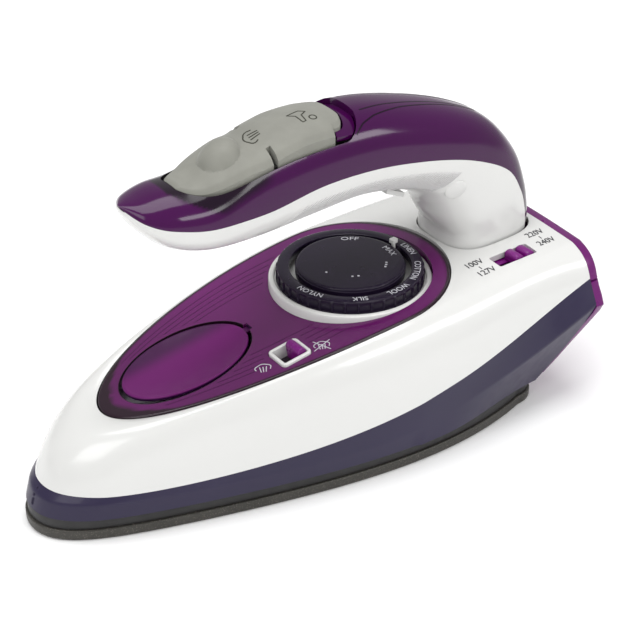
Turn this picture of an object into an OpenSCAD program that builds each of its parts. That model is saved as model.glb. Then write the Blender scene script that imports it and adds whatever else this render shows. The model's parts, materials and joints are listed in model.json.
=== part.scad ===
// Dual-voltage travel steam iron with a folding handle, millimetres.
// The nose points along -X, the heel along +X, and the sole plate lies on Z = 0.

/* [Sole] */
// Foremost point of the sole plate
sole_nose = -102; // [-104:0.5:-100]
// Rear edge of the sole plate
sole_rear = 80; // [78:0.5:82]
// Thickness of the sole plate's rim
sole_t = 4; // [3:0.5:5]
// Thickness of the black insulating ring
ring_t = 4; // [3:0.5:4.5]
// Radius of a steam hole
steam_hole_r = 1.5; // [1:0.1:2]

/* [Body] */
// Plane on which the body shell meets the heel plate
shell_rear = 98; // [97.8:0.1:98.2]
// Rearmost plane of the heel plate
heel_rear = 102; // [101:0.5:103]
// Half-width of the body at its widest
body_half = 45.6; // [44.5:0.1:46]
// Wall thickness of the plastic shells
wall = 2.2; // [1.8:0.1:2.4]

/* [Tank] */
// Foremost point of the tank cover
tank_nose = -74; // [-75:0.5:-73]
// Half-width of the tank cover at the dial
tank_half = 34.5; // [33.5:0.5:35]

/* [Dial] */
// Distance of the dial's axis behind the origin
dial_x = 24.4; // [23.5:0.1:25]
// Outer radius of the dial's white bezel
bezel_r = 28.1; // [27.5:0.1:28.5]
// Outer radius of the knurled ring
knob_r = 25.5; // [25:0.1:26]
// Radius of the raised centre disc
disc_r = 18.9; // [18:0.1:19.4]
// Number of knurls around the ring
knurls = 40; // [30:2:48]

/* [Handle] */
// Wall thickness of the handle's shells
handle_wall = 2.2; // [1.8:0.1:2.4]
// Height of the handle's fold axis
fold_z = 57; // [56.5:0.1:57.5]
// Distance of the fold axis behind the origin
fold_x = 88; // [87.6:0.1:88.2]
// Radius of the fold pin
fold_pin_r = 2; // [1.8:0.1:2.2]
// Radial clearance of a shaft in its bearing
fit = 0.05; // [0.02:0.01:0.08]

/* [Hidden] */
$fn = 48;
eps = 0.01;

white = [0.92, 0.92, 0.91];
navy = [0.27, 0.25, 0.33];
purple = [0.44, 0.16, 0.43];
magenta = [0.59, 0.16, 0.59];
dark = [0.18, 0.15, 0.21];
grey = [0.59, 0.59, 0.56];
metal = [0.75, 0.75, 0.76];

// ---------- curves shared by several parts ----------

// Half-width of the sole's outline at x
function sole_half(x) = let (d = max(0, x - sole_nose))
    5.91 * sqrt(d) - 0.3724 * d + 0.003569 * d * d - 0.00001578 * d * d * d;

function ramp(a, b, x) = min(1, max(0, (x - a) / (b - a)));
function smooth(a, b, x) = let (t = ramp(a, b, x)) t * t * (3 - 2 * t);
function mix(a, b, t) = a * (1 - t) + b * t;
function bezier(a, b, c, d, t) =
    a * pow(1 - t, 3) + b * 3 * t * pow(1 - t, 2) + c * 3 * t * t * (1 - t) + d * pow(t, 3);

// Heights along the body at x
function seam_z(x) = 16 + 0.00095 * pow(max(0, x + 75), 2);
function crease_z(x) = 13.6 + 0.0021 * pow(max(0, x + 5), 2);
function deck_z(x) = let (d = x - tank_nose) 34 + 0.2455 * d - 0.000738 * d * d;

// Half-width of the tank cover's egg outline at x
function tank_w(x) = x < dial_x
    ? tank_half * sqrt(1 - pow(min(1, (dial_x - x) / (dial_x - tank_nose)), 1.8))
    : sqrt(max(0, tank_half * tank_half - pow(x - dial_x, 2)));

// Stations from the nose (0) to the rear (1), closer together at the nose
stations = 26;
function station(i) = pow(i / stations, 1.7);
function along(nose, u) = nose + (shell_rear - nose) * u;
function plan_w(u, extra) = let (x = along(sole_nose, u))
    x > 20 ? body_half : sole_half(x) + extra * smooth(0, 0.08, u);

// Guide lines of the body, each [x, half-width, z] at u; inset moves them inwards
function guide_low(u, inset) = let (x = along(-101.3 + inset, u))
    [x, max(0, plan_w(u, 0.6) - (body_half - 38.6) * smooth(30, 80, x) - inset), sole_t + ring_t];
function guide_crease(u, inset) = let (x = along(-99.6 + inset, u))
    [x, max(0, plan_w(u, 1.3) - inset), crease_z(x)];
function guide_seam(u, inset) = let (x = along(-97.2 + 1.3 * inset, u))
    [x, max(0, plan_w(u, 1.3) - 4.4 * smooth(35, 98, x) - inset), seam_z(x)];
function guide_top(u, inset) = let (x = along(tank_nose + 1.5 * inset, u))
    [x, (x < dial_x ? tank_w(x) : mix(tank_half, 31, ramp(dial_x, shell_rear, x)))
        - 0.4 * inset * smooth(0, 0.1, u), deck_z(x) - inset];
function guide_shoulder(u, inset) =
    let (x = along(-90 + 1.5 * inset, u), a = guide_seam(u, inset), b = guide_top(u, inset))
    [x, mix(b[1], a[1], mix(0.6, 0.75, u)), b[2] + 2.5 - 5 * smooth(0, 0.3, u)];

// One point of the white shell's section: s runs from 0 at the seam to 1 at the deck
function shell_point(u, s, inset) =
    let (a = guide_seam(u, inset), b = guide_top(u, inset), m = guide_shoulder(u, inset),
         k = mix(0.62, 0.76, u))
    bezier(a, mix(a, m, k), mix(b, m, k), b, s);

side_steps = 7;
deck_steps = 3;
shell_j = side_steps + deck_steps;
function shell_xyz(i, j, inset) =
    let (u = station(i), k = j <= shell_j ? j : 2 * shell_j - j, side = j <= shell_j ? -1 : 1,
         p = shell_point(u, min(1, k / side_steps), inset),
         t = max(0, k - side_steps) / deck_steps)
    [p[0], side * p[1] * (1 - t), p[2] + 1.2 * u * sin(90 * t)];
// At the nose both sides share their points, and the deck closes to one point
function shell_id(i, j) = i * (2 * shell_j + 1)
    + (i > 0 ? j : min(j, 2 * shell_j - j, side_steps));

// Splits a quad into triangles and leaves out a triangle that has closed up
function quad(a, b, c, d) = [if (a != b && b != c && a != c) [a, b, c],
    if (a != c && c != d && a != d) [a, c, d]];
function flat(list) = [for (group = list) each group];

module white_shell_solid() {
    per = 2 * shell_j + 1;
    count = per * (stations + 1);
    last = stations;
    points = flat([for (inset = [0, wall])
        [for (i = [0:stations], j = [0:2 * shell_j]) shell_xyz(i, j, inset)]]);
    skins = [for (i = [0:stations - 1], j = [0:2 * shell_j - 1])
        each concat(quad(shell_id(i, j + 1), shell_id(i + 1, j + 1), shell_id(i + 1, j),
                shell_id(i, j)),
            quad(count + shell_id(i, j), count + shell_id(i + 1, j),
                count + shell_id(i + 1, j + 1), count + shell_id(i, j + 1)))];
    rims = [for (i = [0:stations - 1], right = [true, false])
        each let (j = right ? 0 : 2 * shell_j,
                q = [shell_id(i, j), count + shell_id(i, j), count + shell_id(i + 1, j),
                    shell_id(i + 1, j)])
            right ? quad(q[3], q[2], q[1], q[0]) : quad(q[0], q[1], q[2], q[3])];
    rear = [for (j = [0:2 * shell_j - 1])
        each quad(shell_id(last, j + 1), count + shell_id(last, j + 1),
            count + shell_id(last, j), shell_id(last, j))];
    polyhedron(points, concat(skins, rims, rear));
}

// A closed profile swept through ribs: list of ribs, each a list of points in order
module sweep(ribs) {
    n = len(ribs[0]);
    m = len(ribs);
    points = flat(ribs);
    sides = [for (i = [0:m - 2], j = [0:n - 1])
        each quad(i * n + j, i * n + (j + 1) % n, (i + 1) * n + (j + 1) % n, (i + 1) * n + j)];
    start = [for (j = [0:n / 2 - 2]) each quad(j + 1, j, n - 1 - j, n - 2 - j)];
    base = (m - 1) * n;
    end = [for (j = [0:n / 2 - 2])
        each quad(base + j, base + j + 1, base + n - 2 - j, base + n - 1 - j)];
    polyhedron(points, concat(sides, start, end));
}

// ---------- sole and steam chamber ----------

module sole_outline(inset = 0) {
    steps = 30;
    corner_x = sole_rear - 9;
    corner_y = sole_half(corner_x) - 6.6;
    side = [for (i = [0:steps]) let (x = mix(sole_nose, corner_x, pow(i / steps, 2)))
        [x, sole_half(x)]];
    rear = [for (a = [75:-15:0]) [corner_x + 9 * cos(a), corner_y + 6.6 * sin(a)]];
    half = concat(side, rear);
    points = concat(half, [for (i = [len(half) - 1:-1:1]) [half[i][0], -half[i][1]]]);
    if (inset > 0) offset(delta = -inset) polygon(points);
    else polygon(points);
}

// Plain inner block outline: a blunt wedge
module casting_outline() {
    polygon([[-84, 0], [-74, 9], [-52, 20], [-20, 31], [20, 37], [56, 35], [72, 28],
        [72, -28], [56, -35], [20, -37], [-20, -31], [-52, -20], [-74, -9]]);
}

casting_top = 9;
module sole_plate() {
    hole_rows = [[-84, 0], [-76, 6], [-66, 11.5], [-54, 16.5], [-40, 21], [-24, 25], [-6, 28]];
    color(metal) difference() {
        union() {
            linear_extrude(sole_t) sole_outline();
            translate([0, 0, sole_t]) linear_extrude(casting_top - sole_t) casting_outline();
        }
        for (p = hole_rows, side = [-1, 1])
            if (p[1] > 0 || side > 0)
                translate([p[0] + 6, side * p[1] * 0.8, -eps]) cylinder(r = steam_hole_r, h = 20);
        for (p = screw_spots) translate([p[0], p[1], 3]) cylinder(r = 1.6, h = 20);
    }
}

screw_spots = [[-58, 0], [64, 22], [64, -22]];
heater_r = 2.8;
heater_y = 15;
module heating_element() {
    z = casting_top + heater_r;
    color("dimgray") {
        translate([-34, 0, z]) rotate([0, 0, 90]) rotate_extrude(angle = 180)
            translate([heater_y, 0]) circle(r = heater_r);
        for (side = [-1, 1]) {
            translate([-34, side * heater_y, z]) rotate([0, 90, 0]) cylinder(r = heater_r, h = 90);
            translate([56, side * heater_y, z]) rotate([0, 90, 0]) cylinder(r = 1.2, h = 9);
        }
    }
}

lid_t = 2;
module steam_chamber_lid() {
    color("silver") translate([0, 0, casting_top]) difference() {
        translate([-38, -10, 0]) cube([46, 20, lid_t]);
        translate([drip_x, 0, -eps]) cylinder(r = 3, h = lid_t + 1);
    }
}

module insulator_ring() {
    color([0.05, 0.05, 0.05]) translate([0, 0, sole_t]) difference() {
        linear_extrude(ring_t) sole_outline(0.8);
        translate([0, 0, -eps]) linear_extrude(ring_t + 1) offset(delta = 2) casting_outline();
    }
}

// ---------- outer shells ----------

function skirt_rib(u, side) = [for (p = [guide_low(u, 0), guide_crease(u, 0),
        guide_seam(u, 0), guide_seam(u, wall), guide_crease(u, wall), guide_low(u, wall)])
    [p[0], side * p[1], p[2]]];
module skirt() {
    ribs = concat([for (i = [stations:-1:1]) skirt_rib(station(i), 1)],
        [for (i = [0:stations]) skirt_rib(station(i), -1)]);
    color(navy) difference() {
        sweep(ribs);
        rotate([90, 0, 0]) linear_extrude(120, center = true)
            polygon([[plate_foot[0], 0], plate_foot, [shell_rear, heel_low_z + 0.4], [110, 60],
                [110, 0]]);
    }
}

// Opening in the deck, the outline of the handle's foot with room for the fold
foot_rib = [60.6, 0, 96.6, 0, 16.1, 0, 3.2];
foot_gap = 0.6;
module handle_opening() {
    steps = 20;
    half = [for (i = [0:steps]) rib_point(foot_rib, 0.5 - 0.5 * cos(180 * i / steps), 1, -foot_gap)];
    translate([0, 0, 40]) linear_extrude(30)
        polygon(concat([for (p = half) [p[0], p[1]]],
            [for (i = [steps - 1:-1:1]) [half[i][0], -half[i][1]]]));
}

module tank_outline(inset) {
    steps = 24;
    nose = tank_nose + 1.5 * inset;
    half_w = tank_half - inset;
    front = [for (i = [0:steps]) let (t = pow(i / steps, 2))
        [mix(nose, dial_x, t), half_w * sqrt(1 - pow(1 - t, 1.8))]];
    rear = [for (a = [80:-10:0]) [dial_x + half_w * cos(a), half_w * sin(a)]];
    half = concat(front, rear);
    polygon(concat(half, [for (i = [len(half) - 2:-1:1]) [half[i][0], -half[i][1]]]));
}

voltage_spot = [75, -26];
voltage_slot = [16.6, 6.5];
module voltage_cut() {
    translate([voltage_spot[0] - voltage_slot[0] / 2, voltage_spot[1] - voltage_slot[1] / 2, 45])
        cube([voltage_slot[0], voltage_slot[1], 20]);
}

module body_shell() {
    color(white) difference() {
        white_shell_solid();
        translate([0, 0, 20]) linear_extrude(60) tank_outline(0);
        handle_opening();
        voltage_cut();
    }
}

gland_spot = [22, 44];
gland_r = 6.5;
gland_bore_r = 3.6;
gland_in = 8;
heel_low_z = 33.6;
plate_foot = [79, 9.4];
module heel_plate() {
    outline = concat([for (s = [1:-0.2:0]) let (p = shell_point(1, s, 0)) [p[1], p[2]]],
        [[43.6, 40.6], [45.8, 35.6], [42.4, 22], [39, 12], [38.4, 6]]);
    rear_half = 50;
    color(magenta) difference() {
        intersection() {
            translate([0, rear_half, 0]) rotate([90, 0, 0]) linear_extrude(2 * rear_half)
                polygon([[shell_rear, 60], [heel_rear, 60], [heel_rear, heel_low_z],
                    [plate_foot[0] + 2.5, plate_foot[1]], plate_foot,
                    [shell_rear, heel_low_z + 0.4]]);
            translate([70, 0, 0]) rotate([90, 0, 90]) linear_extrude(40)
                polygon(concat(outline, [for (i = [len(outline) - 1:-1:0])
                    [-outline[i][0], outline[i][1]]]));
        }
        translate([shell_rear - 10, gland_spot[0], gland_spot[1]]) rotate([0, 90, 0])
            cylinder(r = gland_r, h = 30);
        for (side = [-1, 1]) translate([shell_rear - 1, side * 34, 39]) rotate([0, 90, 0])
            cylinder(r = 1.6, h = 20);
    }
}

// ---------- water tank ----------

tub_floor_z = 25;
tub_rim_z = 30;
seal_t = 1;
tank_t = 2;

// Height of the tank cover's outer face; it stands a little proud of the shell
function tank_z(x) = deck_z(x) + 0.4;
module under_tank_top(drop) {
    xs = [for (i = [0:12]) mix(tank_nose - 6, 62, i / 12)];
    rotate([90, 0, 0]) translate([0, 0, -50]) linear_extrude(100)
        polygon(concat([[62, 0], [tank_nose - 6, 0]], [for (x = xs) [x, tank_z(x) - drop]]));
}

filler_x = [-65, -19];
filler_half = 14.5;
filler_tilt = 9.5;
filler_mid = (filler_x[0] + filler_x[1]) / 2;
module filler_place() {
    translate([filler_mid, 0, tank_z(filler_mid)]) rotate([0, -filler_tilt, 0]) children();
}
module filler_oval(grow) {
    long = (filler_x[1] - filler_x[0]) / 2 + grow;
    polygon([for (a = [0:7.5:359]) [long * cos(a), (filler_half + grow) * sin(a)]]);
}

filler_pin_r = 0.7;
filler_axis_x = filler_x[1] + 2.6;
filler_axis_z = tank_z(filler_axis_x) - 1.2;
module filler_pocket() {
    translate([filler_axis_x - 4.2, -4.4, filler_axis_z - 1.7]) cube([6, 8.8, 10]);
    translate([filler_axis_x, 0, filler_axis_z]) rotate([90, 0, 0])
        cylinder(r = filler_pin_r, h = 12, center = true);
}

selector_spot = [-15.8, -22];
selector_size = [11.6, 10.4];
module selector_place() {
    x = selector_spot[0];
    tilt = atan2(tank_z(x + 1) - tank_z(x - 1), 2);
    translate([x, selector_spot[1], tank_z(x)]) rotate([0, -tilt, 0]) children();
}

fill_mouth = [-42, 7];
module tank_cover() {
    color(purple) difference() {
        intersection() {
            translate([0, 0, tub_rim_z + seal_t]) linear_extrude(40) tank_outline(0.3);
            under_tank_top(0);
        }
        intersection() {
            translate([0, 0, tub_rim_z + seal_t - eps]) linear_extrude(40) tank_outline(0.3 + tank_t);
            under_tank_top(tank_t + 1.6);
        }
        translate([dial_x, 0, 40]) cylinder(r = bezel_r + 0.1, h = 20);
        filler_place() translate([0, 0, -1.8]) linear_extrude(10) filler_oval(0.4);
        filler_pocket();
        translate([fill_mouth[0], 0, 30]) cylinder(r = fill_mouth[1], h = 20);
        selector_place() translate([-selector_size[0] / 2, -selector_size[1] / 2, -8])
            cube([selector_size[0], selector_size[1], 20]);
    }
}

sleeve_r = 7;
dial_plate_z = 44.6;
module tank_tub() {
    color([0.85, 0.83, 0.88]) difference() {
        union() {
            difference() {
                translate([0, 0, tub_floor_z]) linear_extrude(tub_rim_z - tub_floor_z)
                    tank_outline(0.3);
                translate([0, 0, tub_floor_z + 1.8]) linear_extrude(20) tank_outline(0.3 + 1.8);
            }
            translate([dial_x, 0, tub_floor_z]) cylinder(r = sleeve_r, h = dial_plate_z - tub_floor_z);
            translate([dial_x, 0, dial_plate_z - 1.6]) cylinder(r = 24, h = 1.6);
        }
        translate([dial_x, 0, 0]) cylinder(r = sleeve_r - 1.6, h = 60);
        translate([drip_x, 0, 0]) cylinder(r = 3, h = 60);
    }
}

module tank_seal() {
    color("dimgray") translate([0, 0, tub_rim_z]) linear_extrude(seal_t) difference() {
        tank_outline(0.4);
        tank_outline(1.9);
    }
}

module filler_gasket() {
    top = tank_z(fill_mouth[0]) - 3.6;
    color("dimgray") translate([fill_mouth[0], 0, top - 3]) difference() {
        cylinder(r = fill_mouth[1] - 0.1, h = 3.4);
        translate([0, 0, -1]) cylinder(r = fill_mouth[1] - 1.6, h = 6);
    }
}

drip_x = -15.8;
module drip_valve_seat() {
    color("silver") translate([drip_x, 0, casting_top]) difference() {
        union() {
            cylinder(r = 2.9, h = tub_floor_z - casting_top + 4);
            translate([0, 0, lid_t]) cylinder(r = 4.5, h = 6);
        }
        translate([0, 0, -1]) cylinder(r = 1.5, h = 40);
    }
}

module filler_pin() {
    color("silver") translate([filler_axis_x, 0, filler_axis_z])
        rotate([90, 0, 0]) cylinder(r = filler_pin_r, h = 12, center = true);
}

module filler_cover() {
    dish_r = 52;
    color(purple) difference() {
        union() {
            filler_place() difference() {
                translate([0, 0, -1.5]) linear_extrude(2.9) filler_oval(0);
                translate([0, 0, dish_r - 0.8]) sphere(r = dish_r, $fn = 96);
            }
            translate([filler_axis_x - 6, -4, filler_axis_z - 0.9]) cube([6, 8, 1.6]);
            translate([filler_axis_x, 0, filler_axis_z]) rotate([90, 0, 0])
                cylinder(r = 1.4, h = 8, center = true);
        }
        translate([filler_axis_x, 0, filler_axis_z]) rotate([90, 0, 0])
            cylinder(r = filler_pin_r + fit, h = 20, center = true);
    }
}

// ---------- dial, thermostat and steam control ----------

bezel_top = 52.4;
pointer_post_r = 0.6;
pointer_head_r = 1.15;
pointer_angle = 5;
module dial_bezel() {
    seat = knob_low - 0.4;
    color(white) translate([dial_x, 0, 0]) {
        difference() {
            translate([0, 0, dial_plate_z]) cylinder(r = bezel_r, h = bezel_top - dial_plate_z);
            translate([0, 0, seat]) cylinder(r = knob_r + 0.5, h = 20);
            translate([0, 0, 40]) cylinder(r = sleeve_r, h = 20);
        }
        rotate([0, 0, pointer_angle]) translate([pointer_r, 0, 0]) {
            translate([0, 0, seat - 1]) cylinder(r = pointer_post_r, h = disc_top + 2 - seat);
            translate([0, 0, disc_top + 0.4]) cylinder(r = pointer_head_r, h = 1.3);
        }
    }
}

pointer_r = 19.9;
knob_low = 51;
ring_top = 55.6;
disc_top = 56.5;
channel_half = 1;
slot_half = 0.9;
web_angles = [8.5, 48];
// Ring-shaped slot in the knob's floor for the fixed pointer post
module pointer_slot() {
    rotate([0, 0, web_angles[1]]) rotate_extrude(angle = 360 - web_angles[1] + web_angles[0])
        translate([pointer_r - slot_half, knob_low - 1]) square([2 * slot_half, 8]);
}

module dial_knob() {
    color(dark) translate([dial_x, 0, 0]) difference() {
        union() {
            translate([0, 0, knob_low]) cylinder(r = knob_r, h = ring_top - knob_low);
            translate([0, 0, knob_low]) cylinder(r = disc_r, h = disc_top - 0.8 - knob_low);
            translate([0, 0, 46]) cylinder(r = 5, h = 6);
        }
        translate([0, 0, knob_low - eps]) difference() {
            cylinder(r = knob_r - 2, h = 2);
            cylinder(r = 5, h = 3);
        }
        difference() {
            translate([0, 0, ring_top - 1.6]) cylinder(r = pointer_r + channel_half, h = 5);
            cylinder(r = disc_r, h = 80);
        }
        pointer_slot();
        for (k = [0:knurls - 1]) rotate([0, 0, k * 360 / knurls])
            translate([knob_r + 0.5, 0, 40]) cylinder(r = 1.1, h = 40, $fn = 16);
        translate([0, 0, 40]) cylinder(r = shaft_r, h = 12);
    }
}

module dial_cap() {
    color(dark) translate([dial_x, 0, disc_top - 0.8]) cylinder(r = disc_r - 0.3, h = 0.8);
}

shaft_r = 2.5;
thermostat_top = casting_top + 12;
module thermostat_shaft() {
    color("silver") translate([dial_x, 0, thermostat_top - 5])
        cylinder(r = shaft_r, h = 52 - thermostat_top + 5);
}

module thermostat_housing() {
    color([0.85, 0.8, 0.7]) translate([dial_x, 0, casting_top]) difference() {
        union() {
            translate([-11, -8, 0]) cube([22, 16, 3]);
            cylinder(r = 7.5, h = 12);
        }
        translate([0, 0, 4]) cylinder(r = shaft_r + fit, h = 20);
    }
}

module thermal_fuse() {
    color("ivory") translate([48, 0, casting_top + 2]) rotate([0, 90, 0]) {
        cylinder(r = 2, h = 12, center = true);
        cylinder(r = 0.5, h = 24, center = true);
    }
}

module terminal_block() {
    color("ivory") difference() {
        translate([66, -11, 22]) cube([12, 22, 9]);
        for (k = [-1:1]) translate([72, k * 6.6, 26.5]) rotate([0, 90, 0])
            cylinder(r = 1.5, h = 20, center = true);
    }
}

module steam_frame() {
    size = [selector_size[0] - 0.3, selector_size[1] - 0.3];
    color(white) selector_place() difference() {
        translate([-size[0] / 2, -size[1] / 2, -5]) cube([size[0], size[1], 5.9]);
        translate([-size[0] / 2 + 1.2, -size[1] / 2 + 1.2, -4])
            cube([size[0] - 2.4, size[1] - 2.4, 10]);
        translate([-size[0] / 2 + 2, -1, -8]) cube([size[0] - 4, 2, 8]);
    }
}

module steam_slider() {
    w = 3.4;
    rear = selector_size[0] / 2 - 0.15 - 1.2 - 0.3;
    color(magenta) selector_place() {
        translate([rear - w, -3.6, -3.9]) cube([w, 7.2, 4.6]);
        translate([rear - w / 2, 0, 0.7]) rotate([90, 0, 0])
            cylinder(r = w / 2, h = 7.2, center = true);
        translate([rear - w + 0.8, -0.8, -6.4]) cube([w - 1.6, 1.6, 3]);
    }
}

needle_r = 1.2;
module steam_needle() {
    low = tub_floor_z + 4.6;
    color("silver") {
        translate([drip_x, 0, low]) cylinder(r = needle_r, h = 38 - low);
        translate([drip_x - 1, selector_spot[1], 36]) cube([2, -selector_spot[1], 2]);
    }
}

voltage_len = 9.4;
module voltage_switch_body() {
    color([0.1, 0.1, 0.1]) translate([voltage_spot[0], voltage_spot[1], 0]) difference() {
        translate([-12, -5, 38]) cube([24, 10, 10]);
        translate([-8.6, -2, 44]) cube([17.2, 4, 10]);
    }
}

module voltage_slider() {
    top = deck_z(voltage_spot[0]) + 0.6;
    rear = voltage_spot[0] + voltage_slot[0] / 2 - 0.4;
    color(magenta) translate([rear - voltage_len, voltage_spot[1], 0]) {
        translate([0, -2.9, 48.6]) cube([voltage_len, 5.8, top - 49.6]);
        translate([2, -1.6, 44.5]) cube([voltage_len - 4, 3.2, 5]);
        for (x = [0, 3.9, 7.8]) translate([x, -2.9, top - 1.1]) cube([1.6, 5.8, 2]);
    }
}

// ---------- fastenings of the body ----------

module cord_gland() {
    color([0.1, 0.1, 0.1]) translate([shell_rear - gland_in, gland_spot[0], gland_spot[1]])
        rotate([0, 90, 0]) difference() {
            cylinder(r = gland_r - 0.05, h = heel_rear - shell_rear + gland_in);
            translate([0, 0, -1]) cylinder(r = gland_bore_r, h = 30);
        }
}

module cord_clamp() {
    color("ivory") difference() {
        translate([shell_rear - gland_in - 6, plate_half, gland_spot[1] - 6])
            cube([6, 2 * (gland_spot[0] - plate_half), 5.5]);
        translate([shell_rear - 20, gland_spot[0], gland_spot[1]]) rotate([0, 90, 0])
            cylinder(r = gland_bore_r + 1.1, h = 20);
    }
}

module screw(shank, length, head) {
    cylinder(r = shank, h = length);
    translate([0, 0, length]) cylinder(r = head, h = 2);
}

module sole_screws() {
    color("silver") for (p = screw_spots) translate([p[0], p[1], 3.1])
        screw(1.55, casting_top - 3.1, 3.2);
}

module heel_screws() {
    color("silver") for (side = [-1, 1]) translate([shell_rear - 6, side * 34, 39])
        rotate([0, 90, 0]) screw(1.5, 6 + heel_rear - shell_rear - 2, 1.5);
}

lug = [5.2, 8];
lug_half = 3.6;
plate_z = 40;
plate_t = 3;
plate_half = 15;
module hinge_bracket() {
    color([0.3, 0.3, 0.32]) difference() {
        union() {
            translate([fold_x - 4, -plate_half, plate_z])
                cube([shell_rear - fold_x + 4, 2 * plate_half, plate_t]);
            for (side = [-1, 1])
                translate([fold_x - lug_half, side > 0 ? lug[0] : -lug[1], plate_z + plate_t])
                    cube([2 * lug_half, lug[1] - lug[0], fold_z + lug_half - plate_z - plate_t]);
        }
        translate([fold_x, 0, fold_z]) rotate([90, 0, 0])
            cylinder(r = fold_pin_r, h = 40, center = true);
    }
}

module hinge_pin() {
    color("silver") translate([fold_x, 0, fold_z]) rotate([90, 0, 0])
        cylinder(r = fold_pin_r, h = 2 * lug[1], center = true);
}

// ---------- handle ----------

// Ribs from the tip to the foot: [under x, under z, top x, top z, half width, seam, boxiness]
handle_ribs = [
    [-62.4, 104.0, -62.7, 105.2, 1, 0.4, 2.2],
    [-59, 97, -57.5, 106, 9, 0.45, 2.2],
    [-51, 89.5, -49.5, 107.3, 13.5, 0.49, 2.3],
    [-38, 84.6, -36, 107.9, 15.5, 0.48, 2.4],
    [-20, 83, -18, 115.2, 16, 0.4, 2.4],
    [1, 84.2, 4, 117.6, 16, 0.44, 2.4],
    [20, 85.3, 26, 116.4, 16, 0.43, 2.4],
    [37, 82.5, 47, 111.6, 16, 0.46, 2.4],
    [47.5, 77.5, 66, 104.8, 15.8, 0.53, 2.5],
    [52.5, 72, 79.5, 96.8, 15.5, 0.62, 2.6],
    [55, 67, 89.6, 84.5, 15.6, 0.8, 2.9],
    [57.6, 63, 93.8, 73, 16.2, 0.88, 3.1],
    [60.4, 59.4, 95.6, 64.5, 16, 0.9, 3.2],
    [60.4, 55.5, 96.2, 58.5, 16, 0.92, 3.2],
    [60.7, 50.5, 96.2, 54.5, 15.8, 0.93, 3.2]];
rib_steps = 3;
rib_total = (len(handle_ribs) - 1) * rib_steps;
widest = 0.43;

// A point of a smooth curve through the ribs (Catmull-Rom)
function rib(i) = let (n = len(handle_ribs) - 1, k = min(n - 1, floor(i / rib_steps)),
        t = i / rib_steps - k, a = handle_ribs[max(0, k - 1)], b = handle_ribs[k],
        c = handle_ribs[k + 1], d = handle_ribs[min(n, k + 2)])
    0.5 * (2 * b + (c - a) * t + (2 * a - 5 * b + 4 * c - d) * t * t
        + (3 * b - a - 3 * c + d) * t * t * t);

function rib_wall(r, inset) = min(inset, 0.3 * norm([r[2] - r[0], r[3] - r[1]]), 0.5 * r[4]);
// Point of a rib at fraction q from the underside to the top, on one side
function rib_point(r, q, side, inset) =
    let (w = rib_wall(r, inset), len = norm([r[2] - r[0], r[3] - r[1]]),
         d = [r[2] - r[0], r[3] - r[1]] / len, bow = q < widest
             ? pow(1 - pow((widest - q) / widest, 2.3), 1 / 2.3)
             : pow(1 - pow((q - widest) / (1 - widest), r[6]), 1 / r[6]),
         h = w + q * (len - 2 * w))
    [r[0] + d[0] * h, side * (r[4] - w) * bow, r[1] + d[1] * h];
// Fraction on the inner face level with the seam on the outer face
function inner_seam(r, inset) =
    let (w = rib_wall(r, inset), len = norm([r[2] - r[0], r[3] - r[1]]))
    (r[5] * len - w) / (len - 2 * w);

profile_steps = 9;
// Closed profile of one shell, between fractions low and high of the rib
function shell_profile(r, low, high, inset) =
    let (n = profile_steps, upper = high == 1,
         inner = inner_seam(r, inset), a = upper ? inner : 0, b = upper ? 1 : inner,
         ease = function (t) upper ? sin(90 * t) : 1 - cos(90 * t),
         one = [for (k = [0:n]) mix(low, high, ease(k / n))],
         two = [for (k = [0:n]) mix(a, b, ease(k / n))])
    upper ? concat([for (k = [0:n]) rib_point(r, one[k], -1, 0)],
            [for (k = [n - 1:-1:0]) rib_point(r, one[k], 1, 0)],
            [for (k = [0:n]) rib_point(r, two[k], 1, inset)],
            [for (k = [n - 1:-1:0]) rib_point(r, two[k], -1, inset)])
        : concat([for (k = [n:-1:0]) rib_point(r, one[k], 1, 0)],
            [for (k = [1:n]) rib_point(r, one[k], -1, 0)],
            [for (k = [n:-1:0]) rib_point(r, two[k], -1, inset)],
            [for (k = [1:n]) rib_point(r, two[k], 1, inset)]);

rocker_axis = [-14, 107.4];
rocker_pin_r = 1.2;
pillar = [8.3, 10];
boss_spots = [[-44, 0, 97], [30, -7, 96]];
module handle_base() {
    ribs = [for (i = [1:rib_total]) let (r = rib(i)) shell_profile(r, 0, r[5], handle_wall)];
    color(white) difference() {
        union() {
            sweep(ribs);
            translate([fold_x - 3, -lug[0] + 0.3, fold_z - 3.5])
                cube([5.6, 2 * lug[0] - 0.6, 9]);
            translate([fold_x - 5, -13.5, 62]) cube([5.5, 27, 2.5]);
            for (side = [-1, 1]) translate([rocker_axis[0] - 2.5,
                    side > 0 ? pillar[0] : -pillar[1], 87])
                cube([5, pillar[1] - pillar[0], rocker_axis[1] + 2.1 - 87]);
            for (p = boss_spots) translate([p[0], p[1], 86.5]) cylinder(r = 3.4, h = p[2] - 86.5);
        }
        translate([fold_x, 0, fold_z]) rotate([90, 0, 0])
            cylinder(r = fold_pin_r + fit, h = 60, center = true);
        translate([rocker_axis[0], 0, rocker_axis[1]]) rotate([90, 0, 0])
            cylinder(r = rocker_pin_r, h = 2 * pillar[1] + 1, center = true);
        for (p = boss_spots) {
            translate([p[0], p[1], 60]) cylinder(r = 1.4, h = 60);
            translate([p[0], p[1], 60]) cylinder(r = 2.7, h = 29);
        }
        release_place() translate([-2.4, -2.3, -6]) cube([8.8, 4.6, 12]);
    }
}

pad_x = [-44.5, 19.5];
pad_half = 13;
pad_t = 3;
// Half-width of the button pad at x: it narrows to a blunt front
function pad_w(x) = pad_half * pow(max(0, 1 - pow(max(0, -12 - x) / 33.3, 3)), 0.5)
    * (1 - 0.25 * pow(ramp(4, pad_x[1], x), 3));
function pad_z(x) = 117.9 - 0.0055 * pow(x - 3, 2) - 0.0007 * pow(max(0, -10 - x), 2)
    + 0.045 * pow(max(0, -36 - x), 2);

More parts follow.
